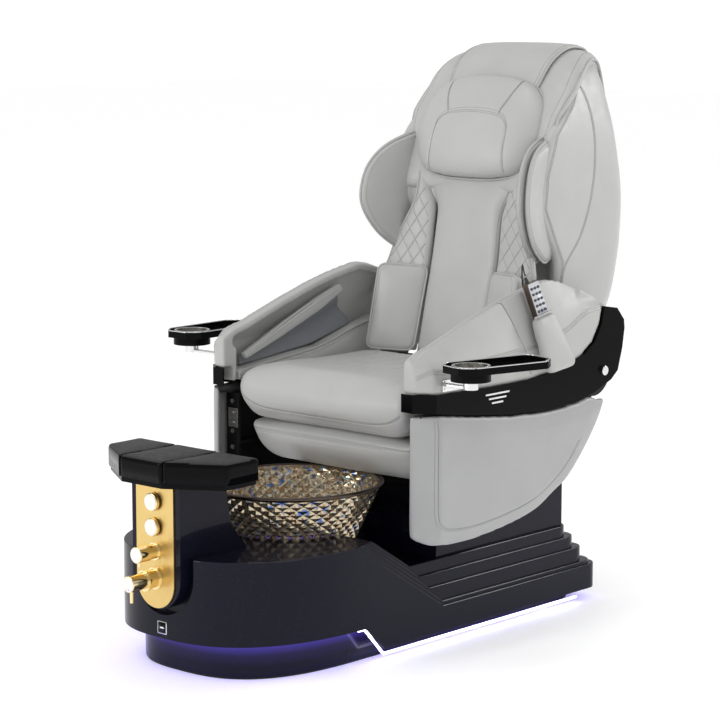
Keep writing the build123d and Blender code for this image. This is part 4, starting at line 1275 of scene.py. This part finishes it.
def footrest_pads():
    """Three foam pads with a matte top and gloss moulded sides."""
    z0, z1 = 476.0, 527.0
    plans = {"middle": [(-69.3, -584), (-69.3, -772), (69.3, -772), (69.3, -584)],
             "left": [(70.7, -584), (70.7, -771.6), (200, -689), (200, -584)],
             "right": [(-70.7, -584), (-200, -584), (-200, -689), (-70.7, -771.6)]}
    for word, plan in plans.items():
        outline = rounded(plan, 7, 5.0)
        count = len(outline)
        centre = outline.mean(0)
        rings = [(0, z0), (0, z1 - 11), (0.6, z1 - 7), (2.4, z1 - 3.2), (5.5, z1 - 1), (10, z1),
                 (30, z1 + 1.5)]
        points = []
        for inset, z in rings:
            reach = np.linalg.norm(outline - centre, axis=1, keepdims=True)
            for x, y in outline + (centre - outline) * inset / reach:
                points.append((x, y, z))
        faces = ring_faces(len(rings), count)
        faces.append(tuple(range(count))[::-1])
        points.append((*centre, z1 + 2))
        last = (len(rings) - 1) * count
        faces += [(last + k, last + (k + 1) % count, len(points) - 1) for k in range(count)]
        piece = make_object("footrest_pad_" + word, points, faces, "footrest", "black_gloss", "footrest_pad")
        piece.data.materials.append(MATERIALS["foot_top"])
        for polygon in piece.data.polygons:
            if polygon.normal.z > 0.75:
                polygon.material_index = 1
        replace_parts(piece, "footrest_pads")


def disc(name, centre, radius, depth, body, material, slot):
    """Shallow domed disc facing -Y."""
    x0, y0, z0 = centre
    ring = np.linspace(0, 2 * math.pi, 40, endpoint=False)
    steps = [(1.0, 0), (1.0, 0.5), (0.95, 0.85), (0.7, 1.0), (0.0001, 1.1)]
    points = []
    for scale, rise in steps:
        points += [(x0 + radius * scale * math.cos(a), y0 - depth * rise, z0 + radius * scale * math.sin(a))
                   for a in ring]
    faces = ring_faces(len(steps), 40) + [tuple(range(40))]
    return make_object(name, points, faces, body, material, slot)


def panel_faces():
    """Cream enamel faces of the buttons and knobs, with the mixer's hot and cold dots."""
    face = -728.0
    disc("jet_button_face", (0, face - 13, 420), 19.5, 1.6, "jet_button", "cream", "gold_polished")
    disc("drain_button_face", (0, face - 13, 360), 19.5, 1.6, "drain_button", "cream", "gold_polished")
    disc("diverter_face", (0, face - 60.3, 302), 17.8, 1.4, "diverter_knob", "cream", "gold_polished")
    disc("mixer_face", (0, face - 86.3, 238), 17.8, 1.4, "mixer_handle", "cream", "gold_polished")
    for name, x, color in (("hot", -3.5, (0.75, 0.05, 0.03)), ("cold", 3.5, (0.03, 0.12, 0.7))):
        MATERIALS[name] = plastic(name + "_dot", color, 0.3, 0.02)
        disc(name + "_dot", (x, face - 87.6, 226), 1.5, 0.5, "mixer_handle", name, "gold_polished")


def base_badge():
    """Small generic plate under the panel: a bright frame round a plain dark field."""
    shell = tree_of(frame["nodes"]["base_shell"])

    def place(u, v, w):
        hit = shell.ray_cast(Vector((u, -1200, v)) * MM, Vector((0, 1, 0)))[0] / MM
        return (u, hit[1] - w + 0.4, v)

    outer = rounded([(-15, 101), (15, 101), (15, 131), (-15, 131)], 2, 1.5)
    inner = rounded([(-13, 103), (13, 103), (13, 129), (-13, 129)], 1.5, 1.5)
    prism("badge_frame", outer, place, 0, 1.4, "base", "chrome", "gloss_navy")
    prism("badge_field", inner, place, 0.4, 1.8, "base", "black_gloss", "gloss_navy")
    tick = rounded([(-7, 114), (7, 114), (7, 118), (-7, 118)], 1.5, 1.0)
    prism("badge_bar", tick, place, 0.8, 2.1, "base", "chrome", "gloss_navy")


def skirt_light():
    """Bright line of light under the skirt, down its step and back along its rear part."""
    shell = tree_of(frame["nodes"]["base_shell"])
    path = resample([(-352, 91), (-330, 90), (-264, 18), (500, 17)], 8.0)
    for side, word in SIDES:
        line = []
        for y, z in path:
            hit = shell.ray_cast(Vector((side * 600, y, z + 14)) * MM, Vector((-side, 0, 0)))[0]
            if hit is not None:
                line.append((hit[0] / MM - side * 3.2, y, z - 1.0))
        tube("skirt_light_" + word, line, 3.2, "base", "led_white", "led")


def tray_trim():
    """Bright edge bead round each tray's rim."""
    plan = [(-62, -26), (-62, 208), (-44, 222), (22, 222), (56, 188), (56, -26), (30, -58), (-34, -58)]
    places = {"left": (455.0, -133.0, -14.0, 1), "right": (-482.0, -136.0, 2.0, -1)}
    for word, (px, py, turn, side) in places.items():
        a = math.radians(turn)
        line = []
        for u, v in rounded([(x * 0.985, y * 0.99) for x, y in plan], 8, 3.0):
            u *= side
            line.append((px + u * math.cos(a) - v * math.sin(a), py + u * math.sin(a) + v * math.cos(a), 718))
        tube("tray_bead_" + word, line, 1.5, "tray_" + word, "chrome", "gloss_black", closed=True)


CAD_LOOK = {
    "base": ["base_shell", "footrest_column"],
    # the plinth's material paints the light strip's glow onto it
    "plinth": ["plinth"],
    "black_gloss": ["arm_band_left", "arm_band_right", "tray_left", "tray_right", "footrest_carrier"],
    "black_satin": ["side_frames", "seat_frame", "back_frame", "base_frame", "base_plate"],
    "black_matte": ["discharge_pump", "power_inlet", "jet_housing", "cord_gland", "strain_relief"],
    "gold_brushed": ["control_panel"],
    "gold": ["valve_bodies", "jet_button", "drain_button", "diverter_knob", "mixer_handle", "water_spout"],
    "steel": ["drain_strainer", "water_inlets", "seat_rails", "frame_bolts", "cup_insert_left",
              "cup_insert_right"],
    "chrome": ["arm_pivot_pins", "tray_bracket_left", "tray_bracket_right"],
    "grey_plastic": ["drain_pipe", "jet_impeller", "massage_rollers"],
    "cast": ["recline_motor", "massage_carriage"],
    "led": ["led_strip"],
    "bronze": ["remote_body"],
}


def dress_cad():
    for material, nodes in CAD_LOOK.items():
        for node in nodes:
            piece = frame["nodes"][node]
            piece.data.materials.clear()
            piece.data.materials.append(MATERIALS[material])


# ---------------------------------------------------------------- studio
def area_light(name, place, target, size, power):
    data = bpy.data.lights.new(name, "AREA")
    data.shape = "RECTANGLE"
    data.size, data.size_y = size
    data.energy = power
    lamp = new_object(name, data)
    lamp.location = place
    lamp.rotation_euler = (Vector(target) - Vector(place)).to_track_quat("-Z", "Y").to_euler()


def studio():
    floor_mesh = bpy.data.meshes.new("floor")
    floor_mesh.from_pydata([(-30, -30, 0), (30, -30, 0), (30, 30, 0), (-30, 30, 0)], [], [(0, 1, 2, 3)])
    pale = new_material("pale_floor", (0.93, 0.93, 0.93), 0.7, Emission_Color=(1, 1, 1, 1),
                        Emission_Strength=0.2)
    floor_mesh.materials.append(pale)
    floor = new_object("floor", floor_mesh)
    world = bpy.data.worlds.new("studio")
    world.use_nodes = True
    tree = world.node_tree
    path = tree.nodes.new("ShaderNodeLightPath")
    # darker in reflections, pure white behind the object
    mixes = []
    for ray, color in (("Is Glossy Ray", (0.6, 0.6, 0.61, 1)), ("Is Camera Ray", (1.2, 1.2, 1.2, 1))):
        mix = tree.nodes.new("ShaderNodeMix")
        mix.data_type = "RGBA"
        tree.links.new(path.outputs[ray], mix.inputs[0])
        mix.inputs[6].default_value = (1, 1, 1, 1)
        mix.inputs[7].default_value = color
        mixes.append(mix)
    tree.links.new(mixes[0].outputs[2], mixes[1].inputs[6])
    tree.links.new(mixes[1].outputs[2], tree.nodes["Background"].inputs["Color"])
    tree.nodes["Background"].inputs["Strength"].default_value = 0.9
    bpy.context.scene.world = world
    bpy.context.scene.view_settings.view_transform = "Standard"
    middle = (0, 0, 0.7)
    area_light("key", (-1.8, -4.2, 1.9), middle, (2.2, 2.2), 62)
    area_light("side", (4.2, -0.6, 1.9), middle, (1.6, 2.6), 10)
    area_light("rim", (1.9, 2.9, 2.1), (0.3, 0.2, 0.2), (0.5, 1.2), 26)
    area_light("top", (0.0, -0.3, 4.0), (0, -0.3, 0), (0.3, 1.4), 10)


def camera():
    data = bpy.data.cameras.new("camera")
    data.lens = 122.0
    data.sensor_width = 36.0
    data.clip_end = 100.0
    eye = new_object("camera", data)
    eye.location = (4.056, -4.522, 1.574)
    target = Vector((0.006, -0.024, 0.673))
    eye.rotation_euler = (target - eye.location).to_track_quat("-Z", "Y").to_euler()
    bpy.context.scene.camera = eye


camera()
studio()
dress_cad()
faceted_bowl()
footrest_pads()
panel_faces()
base_badge()
skirt_light()
tray_trim()
build_back()
build_seat()
build_arms()
finish_stitches()
